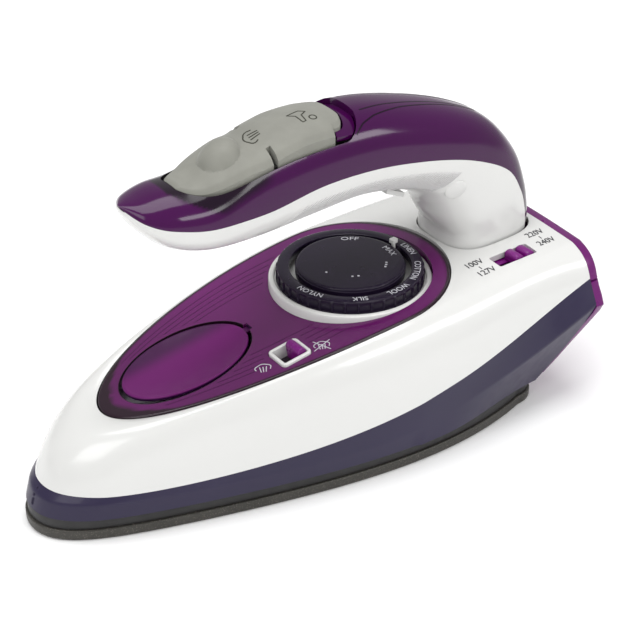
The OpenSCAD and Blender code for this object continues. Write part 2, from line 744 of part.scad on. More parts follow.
module pad_outline(grow) {
    steps = 16;
    half = [for (i = [0:steps]) let (x = mix(pad_x[0], pad_x[1], i / steps))
        [x + grow * (2 * i / steps - 1), pad_w(x) + grow]];
    polygon(concat(half, [for (i = [steps:-1:0]) [half[i][0], -half[i][1]]]));
}

module handle_cover() {
    ribs = [for (i = [0:rib_total - 2]) let (r = rib(i)) shell_profile(r, r[5], 1, handle_wall)];
    color(purple) difference() {
        sweep(ribs);
        translate([0, 0, 102]) linear_extrude(30) pad_outline(0.5);
    }
}

rocker_block = 7.8;
module button_pad() {
    rows = 18;
    cols = 6;
    drop = 5;
    ribs = [for (i = [0:rows]) let (x = mix(pad_x[0], pad_x[1], i / rows), w = pad_w(x))
        concat([for (c = [-cols:cols]) let (y = w * c / cols)
                [x, y, pad_z(x) - drop * pow(abs(y) / pad_half, 2.2)]],
            [for (c = [cols:-1:-cols]) let (y = w * c / cols)
                [x, y, pad_z(x) - drop * pow(abs(y) / pad_half, 2.2) - pad_t]])];
    color(grey) difference() {
        union() {
            sweep(ribs);
            translate([rocker_axis[0] - 2.2, -rocker_block, rocker_axis[1] - 2.2])
                cube([4.4, 2 * rocker_block, 8.4]);
        }
        translate([rocker_axis[0], 0, rocker_axis[1]]) rotate([90, 0, 0])
            cylinder(r = rocker_pin_r + fit, h = 60, center = true);
    }
}

module rocker_pin() {
    color("silver") translate([rocker_axis[0], 0, rocker_axis[1]]) rotate([90, 0, 0])
        cylinder(r = rocker_pin_r, h = 2 * pillar[1], center = true);
}

module handle_screws() {
    color("silver") for (p = boss_spots) translate([p[0], p[1], 87]) {
        cylinder(r = 2.5, h = 2);
        cylinder(r = 1.38, h = p[2] - 88);
    }
}

burst_x = -29;
spray_x = 6;
pump_floor = 88.5;
pump_r = 6;
piston_r = 3.4;
module pump_body(x, height) {
    color([0.8, 0.8, 0.82]) translate([x, 0, pump_floor]) difference() {
        cylinder(r = pump_r, h = height);
        translate([0, 0, 2.5]) cylinder(r = piston_r + fit, h = 40);
    }
}
module burst_pump_body() {
    pump_body(burst_x, 14);
}
module spray_pump_body() {
    pump_body(spray_x, 16);
}

stem_r = 1.8;
module plunger(x) {
    low = pump_floor + 8;
    under_pad = min(pad_z(x - stem_r), pad_z(x + stem_r)) - pad_t - 0.4;
    color([0.9, 0.9, 0.85]) translate([x, 0, low]) {
        cylinder(r = piston_r, h = 4);
        cylinder(r = stem_r, h = under_pad - low);
    }
}
module burst_plunger() {
    plunger(burst_x);
}
module spray_plunger() {
    plunger(spray_x);
}

spring_turns = 4;
spring_wire = 0.4;
spring_coil_r = 2.6;
// Coil spring between the pump's floor and its piston
module return_spring(x) {
    height = 5.4 - 2 * spring_wire;
    per_turn = 14;
    ribs = [for (i = [0:spring_turns * per_turn]) let (a = 360 * i / per_turn)
        [for (k = [0:5]) let (r = spring_coil_r + spring_wire * cos(60 * k))
            [x + r * cos(a), r * sin(a), pump_floor + 2.5 + spring_wire
                + height * i / spring_turns / per_turn + spring_wire * sin(60 * k)]]];
    color("silver") sweep(ribs);
}
module burst_spring() {
    return_spring(burst_x);
}
module spray_spring() {
    return_spring(spray_x);
}

hose_r = 1.5;
hose_z = 92;
hose_bend = 8;
module pump_hose() {
    start = spray_x + pump_r;
    end = 66;
    color([0.9, 0.9, 0.9]) {
        translate([start, 0, hose_z]) rotate([0, 90, 0]) cylinder(r = hose_r, h = end - start);
        translate([end, 0, hose_z - hose_bend]) rotate([90, 0, 0]) rotate_extrude(angle = 90)
            translate([hose_bend, 0]) circle(r = hose_r);
        translate([end + hose_bend, 0, 66]) cylinder(r = hose_r, h = hose_z - hose_bend - 66);
    }
}

release_spot = [41, 81.6];
release_tilt = 25.5;
module release_place() {
    translate([release_spot[0], 0, release_spot[1]]) rotate([0, release_tilt, 0]) children();
}
module release_button() {
    color(white) release_place() {
        translate([-4, -4, -3]) cube([8, 8, 1.7]);
        translate([-2, -2, -1.4]) cube([4, 4, 5.6]);
        translate([-4, -3.4, 4]) cube([8, 6.8, 1.2]);
    }
}

sole_plate();
heating_element();
steam_chamber_lid();
insulator_ring();
skirt();
body_shell();
heel_plate();
tank_cover();
tank_tub();
tank_seal();
filler_gasket();
dial_bezel();
thermostat_housing();
thermal_fuse();
terminal_block();
voltage_switch_body();
steam_frame();
drip_valve_seat();
cord_gland();
cord_clamp();
sole_screws();
heel_screws();
hinge_bracket();
hinge_pin();
filler_pin();
dial_knob();
dial_cap();
thermostat_shaft();
steam_slider();
steam_needle();
voltage_slider();
filler_cover();
handle_base();
handle_cover();
handle_screws();
burst_pump_body();
spray_pump_body();
pump_hose();
rocker_pin();
button_pad();
burst_plunger();
spray_plunger();
burst_spring();
spray_spring();
release_button();
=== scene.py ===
"""Looks of a dual-voltage travel steam iron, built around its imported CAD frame.

Shapes are worked out in millimetres (nose along -X, heel along +X, sole on Z = 0)
and turned into metres when a mesh is made.
"""

import json
import math

import bmesh
import bpy
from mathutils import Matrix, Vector
from mathutils.geometry import delaunay_2d_cdt


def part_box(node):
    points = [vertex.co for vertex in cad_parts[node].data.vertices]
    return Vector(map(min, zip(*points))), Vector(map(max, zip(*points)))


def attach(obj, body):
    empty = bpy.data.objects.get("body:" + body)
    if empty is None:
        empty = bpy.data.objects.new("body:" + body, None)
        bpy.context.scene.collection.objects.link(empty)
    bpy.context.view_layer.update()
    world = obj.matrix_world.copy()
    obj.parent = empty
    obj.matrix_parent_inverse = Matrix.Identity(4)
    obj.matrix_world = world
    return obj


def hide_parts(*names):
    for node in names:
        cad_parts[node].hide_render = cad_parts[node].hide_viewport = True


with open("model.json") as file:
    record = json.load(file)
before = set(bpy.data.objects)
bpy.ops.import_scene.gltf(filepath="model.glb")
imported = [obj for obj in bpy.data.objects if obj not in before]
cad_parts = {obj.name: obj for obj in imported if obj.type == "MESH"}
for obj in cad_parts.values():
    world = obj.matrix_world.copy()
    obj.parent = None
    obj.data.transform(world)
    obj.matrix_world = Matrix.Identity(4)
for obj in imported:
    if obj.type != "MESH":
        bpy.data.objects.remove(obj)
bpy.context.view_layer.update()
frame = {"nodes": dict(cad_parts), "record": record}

MM = 0.001


def node_box(node):
    """Lowest and highest corner of a CAD node, in millimetres."""
    low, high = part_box(node)
    return low / MM, high / MM


def node_middle(node):
    low, high = node_box(node)
    return (low + high) / 2


# ---------- driving sizes, from the frame ----------

SOLE_LOW, SOLE_HIGH = node_box("sole_plate")
SOLE_NOSE = SOLE_LOW.x
SOLE_REAR = SOLE_HIGH.x
RING_LOW, RING_HIGH = node_box("insulator_ring")
SOLE_TOP = RING_LOW.z
RING_TOP = RING_HIGH.z
SHELL_REAR = node_box("body_shell")[1].x
HEEL_REAR = node_box("heel_plate")[1].x
BODY_HALF = node_box("body_shell")[1].y
TANK_NOSE = node_box("tank_tub")[0].x - 0.45
TANK_HALF = node_box("tank_tub")[1].y + 0.3
DIAL_LOW, DIAL_HIGH = node_box("dial_knob")
DIAL_X = node_middle("dial_knob").x
KNOB_R = (DIAL_HIGH.x - DIAL_LOW.x) / 2
BEZEL_LOW, BEZEL_HIGH = node_box("dial_bezel")
BEZEL_R = (BEZEL_HIGH.x - BEZEL_LOW.x) / 2
CAP_LOW, CAP_HIGH = node_box("dial_cap")
DISC_R = (CAP_HIGH.x - CAP_LOW.x) / 2 + 0.3

WALL = 2.2
TANK_GAP = 0.3


# ---------- small maths ----------

def mix(a, b, t):
    return a * (1 - t) + b * t


def ramp(a, b, x):
    return min(1.0, max(0.0, (x - a) / (b - a)))


def smooth(a, b, x):
    t = ramp(a, b, x)
    return t * t * (3 - 2 * t)


def evenly(a, b, count):
    """Values from a to b in equal steps."""
    return [mix(a, b, i / count) for i in range(count + 1)]


def bezier(a, b, c, d, t):
    return a * (1 - t) ** 3 + b * 3 * t * (1 - t) ** 2 + c * 3 * t * t * (1 - t) + d * t ** 3


def spaced(count):
    """Parameters from 0 to 1, quadratically closer together at 0."""
    return [(i / count) ** 2 * (2 - i / count) for i in range(count + 1)]


def polar(x, y, rx, ry, angles):
    """Points round an ellipse about (x, y), at angles in degrees."""
    return [(x + rx * math.cos(math.radians(a)), y + ry * math.sin(math.radians(a)))
            for a in angles]


def full_turn(count):
    return [360 * i / count for i in range(count)]


def both_sides(half, first=1, last=None):
    """Plan outline from its half at +Y; first and last choose the points that are mirrored."""
    return half + [(x, -y) for x, y in reversed(half[first:last])]


# ---------- the body's curves, as in the CAD source ----------

def sole_half(x):
    d = max(0.0, x - SOLE_NOSE)
    return 5.91 * math.sqrt(d) - 0.3724 * d + 0.003569 * d * d - 0.00001578 * d ** 3


def seam_z(x):
    return 16 + 0.00095 * max(0.0, x + 75) ** 2


def crease_z(x):
    return 13.6 + 0.0021 * max(0.0, x + 5) ** 2


def deck_z(x):
    d = x - TANK_NOSE
    return 34 + 0.2455 * d - 0.000738 * d * d


def tank_z(x):
    return deck_z(x) + 0.4


def tank_surface(x, _):
    """Height of the tank's top, which is level across the iron."""
    return tank_z(x)


def tank_w(x):
    """Half-width of the tank's egg outline at x."""
    if x < DIAL_X:
        share = min(1.0, (DIAL_X - x) / (DIAL_X - TANK_NOSE))
        return TANK_HALF * math.sqrt(max(0.0, 1 - share ** 1.8))
    return math.sqrt(max(0.0, TANK_HALF * TANK_HALF - (x - DIAL_X) ** 2))


def along(nose, u):
    return nose + (SHELL_REAR - nose) * u


def plan_w(u, extra):
    x = along(SOLE_NOSE, u)
    if x > 20:
        return BODY_HALF
    return sole_half(x) + extra * smooth(0, 0.08, u)


def guide_low(u):
    x = along(SOLE_NOSE + 0.7, u)
    half = plan_w(u, 0.6) - (BODY_HALF - 38.6) * smooth(30, 80, x)
    return Vector((x, max(0.0, half), RING_TOP))


def guide_crease(u):
    x = along(SOLE_NOSE + 2.4, u)
    return Vector((x, max(0.0, plan_w(u, 1.3)), crease_z(x)))


def guide_seam(u):
    x = along(SOLE_NOSE + 4.8, u)
    return Vector((x, max(0.0, plan_w(u, 1.3) - 4.4 * smooth(35, 98, x)), seam_z(x)))


def guide_top(u):
    x = along(TANK_NOSE, u)
    half = tank_w(x) if x < DIAL_X else mix(TANK_HALF, 31, ramp(DIAL_X, SHELL_REAR, x))
    return Vector((x, half, deck_z(x)))


def guide_shoulder(u):
    a, b = guide_seam(u), guide_top(u)
    return Vector((along(-90, u), mix(b.y, a.y, mix(0.6, 0.75, u)),
                   b.z + 2.5 - 5 * smooth(0, 0.3, u)))


def shell_point(u, s):
    a, b, m = guide_seam(u), guide_top(u), guide_shoulder(u)
    k = mix(0.62, 0.76, u)
    return bezier(a, a.lerp(m, k), b.lerp(m, k), b, s)


# ---------- materials ----------

def srgb(r, g, b):
    """A colour given as 0..255 screen values, turned into linear light."""
    def one(c):
        c /= 255
        return c / 12.92 if c <= 0.04045 else ((c + 0.055) / 1.055) ** 2.4
    return (one(r), one(g), one(b), 1.0)


class Nodes:
    """Short names for building one material's node tree."""

    def __init__(self, name):
        self.material = bpy.data.materials.new(name)
        self.material.use_nodes = True
        self.tree = self.material.node_tree
        self.tree.nodes.clear()
        self.shader = self.add("ShaderNodeBsdfPrincipled")
        output = self.add("ShaderNodeOutputMaterial")
        self.link(self.shader.outputs[0], output.inputs["Surface"])
        self.place = self.add("ShaderNodeTexCoord").outputs["Object"]

    def add(self, kind, **values):
        node = self.tree.nodes.new(kind)
        for key, value in values.items():
            setattr(node, key, value)
        return node

    def link(self, source, target):
        self.tree.links.new(source, target)

    def noise(self, per_mm, detail=3.0, stretch=None):
        """Noise with so many cells to a millimetre."""
        node = self.add("ShaderNodeTexNoise")
        node.inputs["Scale"].default_value = per_mm / MM
        node.inputs["Detail"].default_value = detail
        source = self.place
        if stretch:
            mapping = self.add("ShaderNodeMapping")
            mapping.inputs["Scale"].default_value = stretch
            self.link(source, mapping.inputs["Vector"])
            source = mapping.outputs[0]
        self.link(source, node.inputs["Vector"])
        return node.outputs["Fac"]

    def attribute(self, name):
        return self.add("ShaderNodeAttribute", attribute_name=name).outputs["Fac"]

    def blend(self, factor, a, b):
        """Colour between a and b; each is a colour or an output."""
        node = self.add("ShaderNodeMix", data_type="RGBA")
        self.link(factor, node.inputs["Factor"])
        for value, socket in ((a, node.inputs["A"]), (b, node.inputs["B"])):
            if isinstance(value, tuple):
                socket.default_value = value
            else:
                self.link(value, socket)
        return node.outputs["Result"]

    def spread(self, factor, low, high, start=0.3, end=0.7):
        """Number from low to high as factor goes from start to end."""
        node = self.add("ShaderNodeMapRange")
        self.link(factor, node.inputs["Value"])
        for key, value in (("From Min", start), ("From Max", end),
                           ("To Min", low), ("To Max", high)):
            node.inputs[key].default_value = value
        return node.outputs["Result"]

    def mottle(self, noise, color, low, high):
        """The colour, darker and lighter along a noise."""
        return self.blend(self.spread(noise, 0, 1), shade(color, low), shade(color, high))

    def finish(self, base, gloss, roughness, span, grain, depth_mm, **inputs):
        """Joins up colour, uneven roughness and surface grain, and sets the other inputs."""
        self.link(base, self.shader.inputs["Base Color"])
        uneven = self.spread(gloss, roughness * span[0], roughness * span[1])
        self.link(uneven, self.shader.inputs["Roughness"])
        node = self.add("ShaderNodeBump")
        node.inputs["Strength"].default_value = 1.0
        node.inputs["Distance"].default_value = depth_mm * MM
        self.link(grain, node.inputs["Height"])
        self.link(node.outputs["Normal"], self.shader.inputs["Normal"])
        for key, value in inputs.items():
            self.shader.inputs[key.replace("_", " ")].default_value = value
        return self.material


def shade(color, amount):
    return tuple([c * amount for c in color[:3]] + [1.0])


def plastic(name, color, roughness=0.3, coat=0.0, mottle=0.04, specular=0.5):
    """Moulded plastic: faint flow mottle, fine surface grain and uneven gloss."""
    n = Nodes(name)
    base = n.mottle(n.noise(0.06, 2.0, (0.5, 1.0, 1.0)), color, 1 - mottle, 1 + mottle)
    return n.finish(base, n.noise(0.25), roughness, (0.85, 1.15), n.noise(1.6, 4.0), 0.004,
                    Coat_Weight=coat, Coat_Roughness=0.06, Specular_IOR_Level=specular)


def tinted(name, color, edge, roughness, coat, specular=0.3):
    """Glossy tinted plastic that is mixed towards its second colour, a painted shade, where the
    piece's rim attribute rises.
    """
    n = Nodes(name)
    flow = n.noise(0.018, 1.0, (0.6, 1.0, 1.0))
    body = n.blend(n.spread(flow, 0, 1, 0.35, 0.65), shade(color, 0.85), shade(color, 1.2))
    return n.finish(n.blend(n.attribute("rim"), body, edge), n.noise(0.2), roughness, (0.8, 1.2),
                    n.noise(0.5, 2.0), 0.002, Coat_Weight=coat, Coat_Roughness=0.12,
                    Specular_IOR_Level=specular)


def metal(name, color, roughness, brushed=(1.0, 1.0, 1.0)):
    """Bare metal with fine streaks."""
    n = Nodes(name)
    streaks = n.noise(1.2, 4.0, brushed)
    return n.finish(n.mottle(streaks, color, 0.85, 1.1), streaks, roughness, (0.8, 1.3),
                    streaks, 0.006, Metallic=1.0)


def rubber(name, color):
    """Soft-touch rubber with a fine tooth."""
    n = Nodes(name)
    return n.finish(n.mottle(n.noise(0.12, 2.0), color, 0.94, 1.06), n.noise(0.4), 0.62,
                    (0.9, 1.1), n.noise(2.6, 5.0), 0.02, Sheen_Weight=0.15)


def speckled(name, color, fleck):
    """Fired ceramic coating on metal: dark ground with fine light flecks."""
    n = Nodes(name)
    dots = n.noise(2.2, 5.0)
    ground = n.mottle(n.noise(0.1, 2.0), color, 0.85, 1.15)
    return n.finish(n.blend(n.spread(dots, 0, 1, 0.56, 0.7), ground, fleck), dots, 0.45,
                    (0.8, 1.2), dots, 0.03, Metallic=0.25)


WHITE = plastic("white_gloss", srgb(214, 214, 212), 0.22, coat=0.4, mottle=0.006)
NAVY = plastic("navy_satin", srgb(42, 36, 62), 0.34, coat=0.1, mottle=0.05, specular=0.25)
HEEL = plastic("magenta_satin", srgb(98, 16, 96), 0.3, coat=0.2, mottle=0.05, specular=0.3)
SLIDER = plastic("slider_magenta", srgb(112, 16, 112), 0.3, coat=0.2, mottle=0.05, specular=0.3)
# The second colour of each tinted plastic is its painted shade, mixed in along the piece's rim
# attribute.
TANK = tinted("tank_tint", srgb(92, 18, 88), srgb(34, 12, 28), 0.2, 0.2)
FILLER = tinted("filler_tint", srgb(104, 30, 100), srgb(40, 6, 48), 0.4, 0.0, specular=0.15)
HANDLE = tinted("handle_tint", srgb(58, 3, 62), srgb(22, 3, 24), 0.13, 0.25, specular=0.2)
DIAL = plastic("dial_aubergine", srgb(28, 19, 38), 0.24, coat=0.1, mottle=0.06, specular=0.2)
LINE = plastic("groove_shadow", srgb(64, 12, 62), 0.4, mottle=0.05, specular=0.2)
INK_WHITE = plastic("legend_white", srgb(196, 196, 202), 0.5, mottle=0.03)
INK_GREY = plastic("legend_grey", srgb(60, 60, 64), 0.5, mottle=0.03, specular=0.2)
INK_DARK = plastic("icon_dark", srgb(58, 58, 50), 0.7, mottle=0.03, specular=0.2)
PAD = rubber("pad_grey", srgb(128, 128, 120))
BLACK = plastic("black_matt", srgb(26, 25, 26), 0.5, mottle=0.08)
SOLE = speckled("ceramic_coat", srgb(56, 54, 50), srgb(104, 100, 92))
# A darker white for the grip's ridges: painted shade between the ridges.
GRIP_SHADE = plastic("white_grip_shade", srgb(196, 195, 195), 0.3, coat=0.2, mottle=0.01)
# Painted shade for the handle's style-line grooves.
GROOVE_SHADE = plastic("handle_groove_shade", srgb(26, 4, 28), 0.3, mottle=0.05, specular=0.2)
GLOOM = plastic("inner_shadow", srgb(30, 10, 30), 0.6, mottle=0.05)

CAD_LOOKS = {
    "chamber_metal": metal("cast_aluminium", srgb(190, 190, 192), 0.45),
    "heater_sheath": metal("oxidised_sheath", srgb(92, 86, 80), 0.5),
    "insulator": BLACK,
    "tub_plastic": plastic("tub_clear", srgb(205, 198, 210), 0.2, coat=0.3),
    "seal_rubber": rubber("seal_rubber", srgb(60, 60, 60)),
    "phenolic": plastic("phenolic", srgb(196, 186, 160), 0.55, mottle=0.08),
    "steel": metal("plated_steel", srgb(200, 200, 202), 0.25, (8.0, 8.0, 1.0)),
    "bracket_metal": metal("bracket_zinc", srgb(120, 120, 126), 0.4, (1.0, 8.0, 8.0)),
    "pump_plastic": plastic("pump_plastic", srgb(214, 214, 208), 0.4),
    "white_shell": WHITE,
    "navy_skirt": NAVY,
    "tank_plastic": TANK,
    "handle_tint": HANDLE,
    "heel_plastic": HEEL,
    "dial_plastic": DIAL,
    "button_rubber": PAD,
    "sole_metal": SOLE,
}


def dress_cad_nodes():
    """Gives every CAD node the material of its slot in the record."""
    for row in frame["record"]["subparts"]:
        node = frame["nodes"][row["node"]]
        node.data.materials.clear()
        node.data.materials.append(CAD_LOOKS[row["material_slot"]])


# ---------- mesh helpers ----------

def new_object(name, shape, material=None, merge=0.0, upward=False):
    """An object from points in millimetres, its faces outwards or, for a sheet, upwards."""
    points, faces = shape
    mesh = bpy.data.meshes.new(name)
    mesh.from_pydata([Vector(p) * MM for p in points], [], faces)
    work = bmesh.new()
    work.from_mesh(mesh)
    if merge:
        bmesh.ops.remove_doubles(work, verts=work.verts, dist=merge * MM)
    bmesh.ops.recalc_face_normals(work, faces=work.faces)
    if upward and max(work.faces, key=lambda f: f.calc_center_median().z).normal.z < 0:
        bmesh.ops.reverse_faces(work, faces=work.faces)
    work.to_mesh(mesh)
    work.free()
    if material:
        mesh.materials.append(material)
    made = bpy.data.objects.new(name, mesh)
    bpy.context.scene.collection.objects.link(made)
    return made


def piece(name, shape, body, slot, material=None, sharp=38, bevel=0.0, replaces=()):
    """A piece riding on a body, in its slot's own material or in another one."""
    made = new_object(name, shape, material or CAD_LOOKS[slot], merge=0.001)
    finish_piece(made, body, sharp, bevel, replaces)
    return made


def finish_piece(made, body, sharp=38, bevel=0.0, replaces=()):
    mesh = made.data
    mesh.polygons.foreach_set("use_smooth", [True] * len(mesh.polygons))
    if bevel:
        rounding = made.modifiers.new("edges", "BEVEL")
        rounding.width = bevel * MM
        rounding.segments = 3
        rounding.limit_method = "ANGLE"
        rounding.angle_limit = math.radians(sharp)
        rounding.harden_normals = True
    else:
        mesh.set_sharp_from_angle(angle=math.radians(sharp))
    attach(made, body)
    if replaces:
        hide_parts(*replaces)


def apply_modifier(made, kind, **values):
    """Puts one modifier on a piece and turns it into the piece's mesh."""
    modifier = made.modifiers.new("shape", kind)
    for key, value in values.items():
        setattr(modifier, key, value)
    graph = bpy.context.evaluated_depsgraph_get()
    mesh = bpy.data.meshes.new_from_object(made.evaluated_get(graph))
    made.modifiers.clear()
    made.data = mesh


def set_painted_shade(made, share):
    """Stores the painted shade of a tinted piece at each point, as share gives it, in its rim
    attribute.
    """
    rim = made.data.attributes.new("rim", "FLOAT", "POINT")
    rim.data.foreach_set("value", [share(v.co / MM) for v in made.data.vertices])


def cut(made, shape):
    """Takes a closed shape, given in millimetres, out of a piece."""
    cutter = new_object("cutter", shape)
    apply_modifier(made, "BOOLEAN", operation="DIFFERENCE", solver="EXACT", object=cutter)
    bpy.data.objects.remove(cutter)


def loft(rings, closed=False, ends="strips"):
    """Points and faces of closed rings joined in a row, or in a loop.

    A row ends in strips across its mirrored rings, in one flat face each, or open (None)."""
    n = len(rings[0])
    rows = len(rings)
    last = (rows - 1) * n
    points = [p for ring in rings for p in ring]
    faces = []
    for i in range(rows if closed else rows - 1):
        for j in range(n):
            a, b = i * n + j, i * n + (j + 1) % n
            c, d = (i + 1) % rows * n + (j + 1) % n, (i + 1) % rows * n + j
            faces.append((a, b, c, d))
    if closed or not ends:
        return points, faces
    if ends == "flat":
        return points, faces + [tuple(range(n))[::-1], tuple(range(last, last + n))]
    for k in range(n // 2 - 1):
        faces.append((k + 1, k, n - 1 - k, n - 2 - k))
        faces.append((last + k, last + k + 1, last + n - 2 - k, last + n - 1 - k))
    return points, faces


def prism(outline, low, high):
    """Points and faces of an upright prism on a plan outline."""
    return loft([[(x, y, z) for x, y in outline] for z in (low, high)], ends="flat")


def lathe(profile, center, count=192, start=0.0, sweep=360.0, radius=None):
    """A closed (radius, height) profile turned about an upright axis."""
    whole = sweep >= 360
    rings = []
    for i in range(count if whole else count + 1):
        angle = math.radians(start + sweep * i / count)
        ring = []
        for r, z in profile:
            reach = radius(r, z, angle) if radius else r
            ring.append((center[0] + reach * math.cos(angle),
                         center[1] + reach * math.sin(angle), z))
        rings.append(ring)
    return loft(rings, whole, "flat")


def merge_shapes(*shapes):
    points, faces = [], []
    for more, their in shapes:
        base = len(points)
        points += list(more)
        faces += [tuple(base + i for i in face) for face in their]
    return points, faces


def inside(point, loop):
    x, y = point
    hit = False
    for (ax, ay), (bx, by) in zip(loop, loop[1:] + loop[:1]):
        if (ay > y) != (by > y) and x < ax + (y - ay) * (bx - ax) / (by - ay):
            hit = not hit
    return hit


def in_sheet(point, outer, holes):
    return inside(point, outer) and not any(inside(point, hole) for hole in holes)


def edge_distance(point, loop):
    px, py = point
    best = 1e9
    for (ax, ay), (bx, by) in zip(loop, loop[1:] + loop[:1]):
        dx, dy = bx - ax, by - ay
        t = ((px - ax) * dx + (py - ay) * dy) / max(1e-9, dx * dx + dy * dy)
        t = max(0.0, min(1.0, t))
        best = min(best, (px - ax - dx * t) ** 2 + (py - ay - dy * t) ** 2)
    return math.sqrt(best)


HOLE_ROW = 0.3


def sheet_mesh(outer, holes, step, rows=()):
    """Even triangles over a plan outline with holes: 2-D points and faces.

    Rows of points follow the outline at the given distances inside it, and then one more
    row goes round each hole."""
    loops = [outer] + holes
    border = max(rows, default=0.0)
    spots = [Vector(p) for loop in loops for p in loop]
    edges, base = [], 0
    for loop in loops:
        edges += [(base + i, base + (i + 1) % len(loop)) for i in range(len(loop))]
        base += len(loop)
    if rows:
        spots += [Vector(p) for hole in holes for p in offset_outline(hole, -HOLE_ROW)]
    for inset in rows:
        spots += [Vector(p) for p in offset_outline(outer, inset) if in_sheet(p, outer, holes)
                  and all(edge_distance(p, hole) > 2 * HOLE_ROW for hole in holes)]
    xs, ys = [p[0] for p in outer], [p[1] for p in outer]
    row = 0
    y = min(ys) + step / 2
    while y < max(ys):
        x = min(xs) + step * (0.5 if row % 2 else 1.0)
        while x < max(xs):
            spot = (x, y)
            if in_sheet(spot, outer, holes):
                room = min([edge_distance(spot, outer) - border]
                           + [edge_distance(spot, hole) for hole in holes])
                if room > 0.55 * step:
                    spots.append(Vector(spot))
            x += step
        y += step * 0.866
        row += 1
    found = delaunay_2d_cdt(spots, edges, [], 1, 1e-5)
    flat, faces = found[0], []
    for face in found[2]:
        mid = sum((flat[i] for i in face), Vector((0, 0))) / len(face)
        if in_sheet(mid, outer, holes):
            faces.append(tuple(face))
    return [tuple(p) for p in flat], faces


def rounded_box(x, y, long, wide, corner, steps=6):
    """Plan outline of a rectangle with round corners."""
    points = []
    for k, (sx, sy) in enumerate(((1, 1), (-1, 1), (-1, -1), (1, -1))):
        points += polar(x + sx * (long / 2 - corner), y + sy * (wide / 2 - corner), corner, corner,
                        evenly(90 * k, 90 * k + 90, steps))
    return points


def ribbon(path, width, lift, surface):
    """A thin closed strip along a plan path, lying on a height surface(x, y)."""
    thick = 0.12
    rings = []
    for i, (x, y) in enumerate(path):
        ahead = Vector(path[min(i + 1, len(path) - 1)])
        behind = Vector(path[max(i - 1, 0)])
        way = (ahead - behind).normalized()
        side = Vector((-way.y, way.x)) * width / 2
        ring = []
        for s, z in ((-1, lift - thick), (1, lift - thick), (1, lift), (-1, lift)):
            px, py = x + s * side.x, y + s * side.y
            ring.append((px, py, surface(px, py) + z))
        rings.append(ring)
    return loft(rings)


def text_shape(text, size):
    """Flat, slightly thick letters of Blender's own font, centred on the origin."""
    curve = bpy.data.curves.new("legend", "FONT")
    curve.body, curve.size = text, size
    curve.align_x = curve.align_y = "CENTER"
    curve.extrude = 0.05
    curve.resolution_u = 3
    made = bpy.data.objects.new("legend", curve)
    bpy.context.scene.collection.objects.link(made)
    graph = bpy.context.evaluated_depsgraph_get()
    mesh = bpy.data.meshes.new_from_object(made.evaluated_get(graph))
    points = [tuple(v.co) for v in mesh.vertices]
    faces = [tuple(p.vertices) for p in mesh.polygons]
    bpy.data.objects.remove(made)
    bpy.data.meshes.remove(mesh)
    return points, faces


# ---------- sole, insulating ring, skirt ----------

def sole_outline(inset=0.0):
    corner = (9.0, 6.6)
    corner_x = SOLE_REAR - corner[0]
    side = [(x, sole_half(x)) for x in (mix(SOLE_NOSE, corner_x, t) for t in spaced(90))]
    rear = polar(corner_x, sole_half(corner_x) - corner[1], *corner, range(84, -1, -6))
    return offset_outline(both_sides(side + rear), inset)


def offset_outline(outline, inset):
    """Moves each point of a plan outline inwards along its normal."""
    if not inset:
        return outline
    area = sum(a[0] * b[1] - b[0] * a[1] for a, b in zip(outline, outline[1:] + outline[:1]))
    turn = 1 if area > 0 else -1
    moved = []
    n = len(outline)
    for i in range(n):
        way = (Vector(outline[(i + 1) % n]) - Vector(outline[i - 1])).normalized()
        moved.append((outline[i][0] - turn * way.y * inset, outline[i][1] + turn * way.x * inset))
    return moved


def slab(outline_at, low, high, round_low, round_high):
    """A flat plate with rounded lower and upper edges; outline_at(inset) is its plan."""
    turns = evenly(0, math.pi / 2, 5)
    levels = [(round_low * (1 - math.sin(a)), low + round_low * (1 - math.cos(a))) for a in turns]
    levels += [(round_high * (1 - math.cos(a)), high - round_high * (1 - math.sin(a)))
               for a in turns]
    return loft([[(x, y, z) for x, y in outline_at(inset)] for inset, z in levels], ends="flat")


def build_sole():
    casting = both_sides([(-84, 0), (-74, 9), (-52, 20), (-20, 31), (20, 37), (56, 35), (72, 28)])
    shape = merge_shapes(slab(sole_outline, 0, SOLE_TOP, 1.1, 0.5),
                         prism(casting, SOLE_TOP + 0.02, SOLE_HIGH.z))
    sole = piece("sole", shape, "body", "sole_metal", replaces=["sole_plate"])
    holes = both_sides([(-78, 0), (-70, 5), (-60, 9.2), (-48, 13.2), (-34, 16.8), (-18, 20),
                        (0, 22.4), (22, 27), (42, 27.5), (60, 25)])
    cone = [(0.0, -0.5), (2.6, -0.5), (1.5, 0.9), (1.5, 3.2), (0.0, 3.2)]
    for spot in holes:
        cut(sole, lathe(cone, spot, 20))


def build_insulator():
    shape = slab(lambda inset: sole_outline(0.8 + inset), SOLE_TOP, RING_TOP, 0.3, 0.3)
    piece("insulator_band", shape, "body", "insulator", replaces=["insulator_ring"])


PLATE_FOOT = Vector((79.0, 9.4))
HEEL_LOW_Z = 33.6
PLATE_SLOPE = (HEEL_LOW_Z + 0.4 - PLATE_FOOT.y) / (SHELL_REAR - PLATE_FOOT.x)


def plate_line(x):
    """Height of the heel plate's inner slanted face at x."""
    return PLATE_FOOT.y + PLATE_SLOPE * (x - PLATE_FOOT.x)


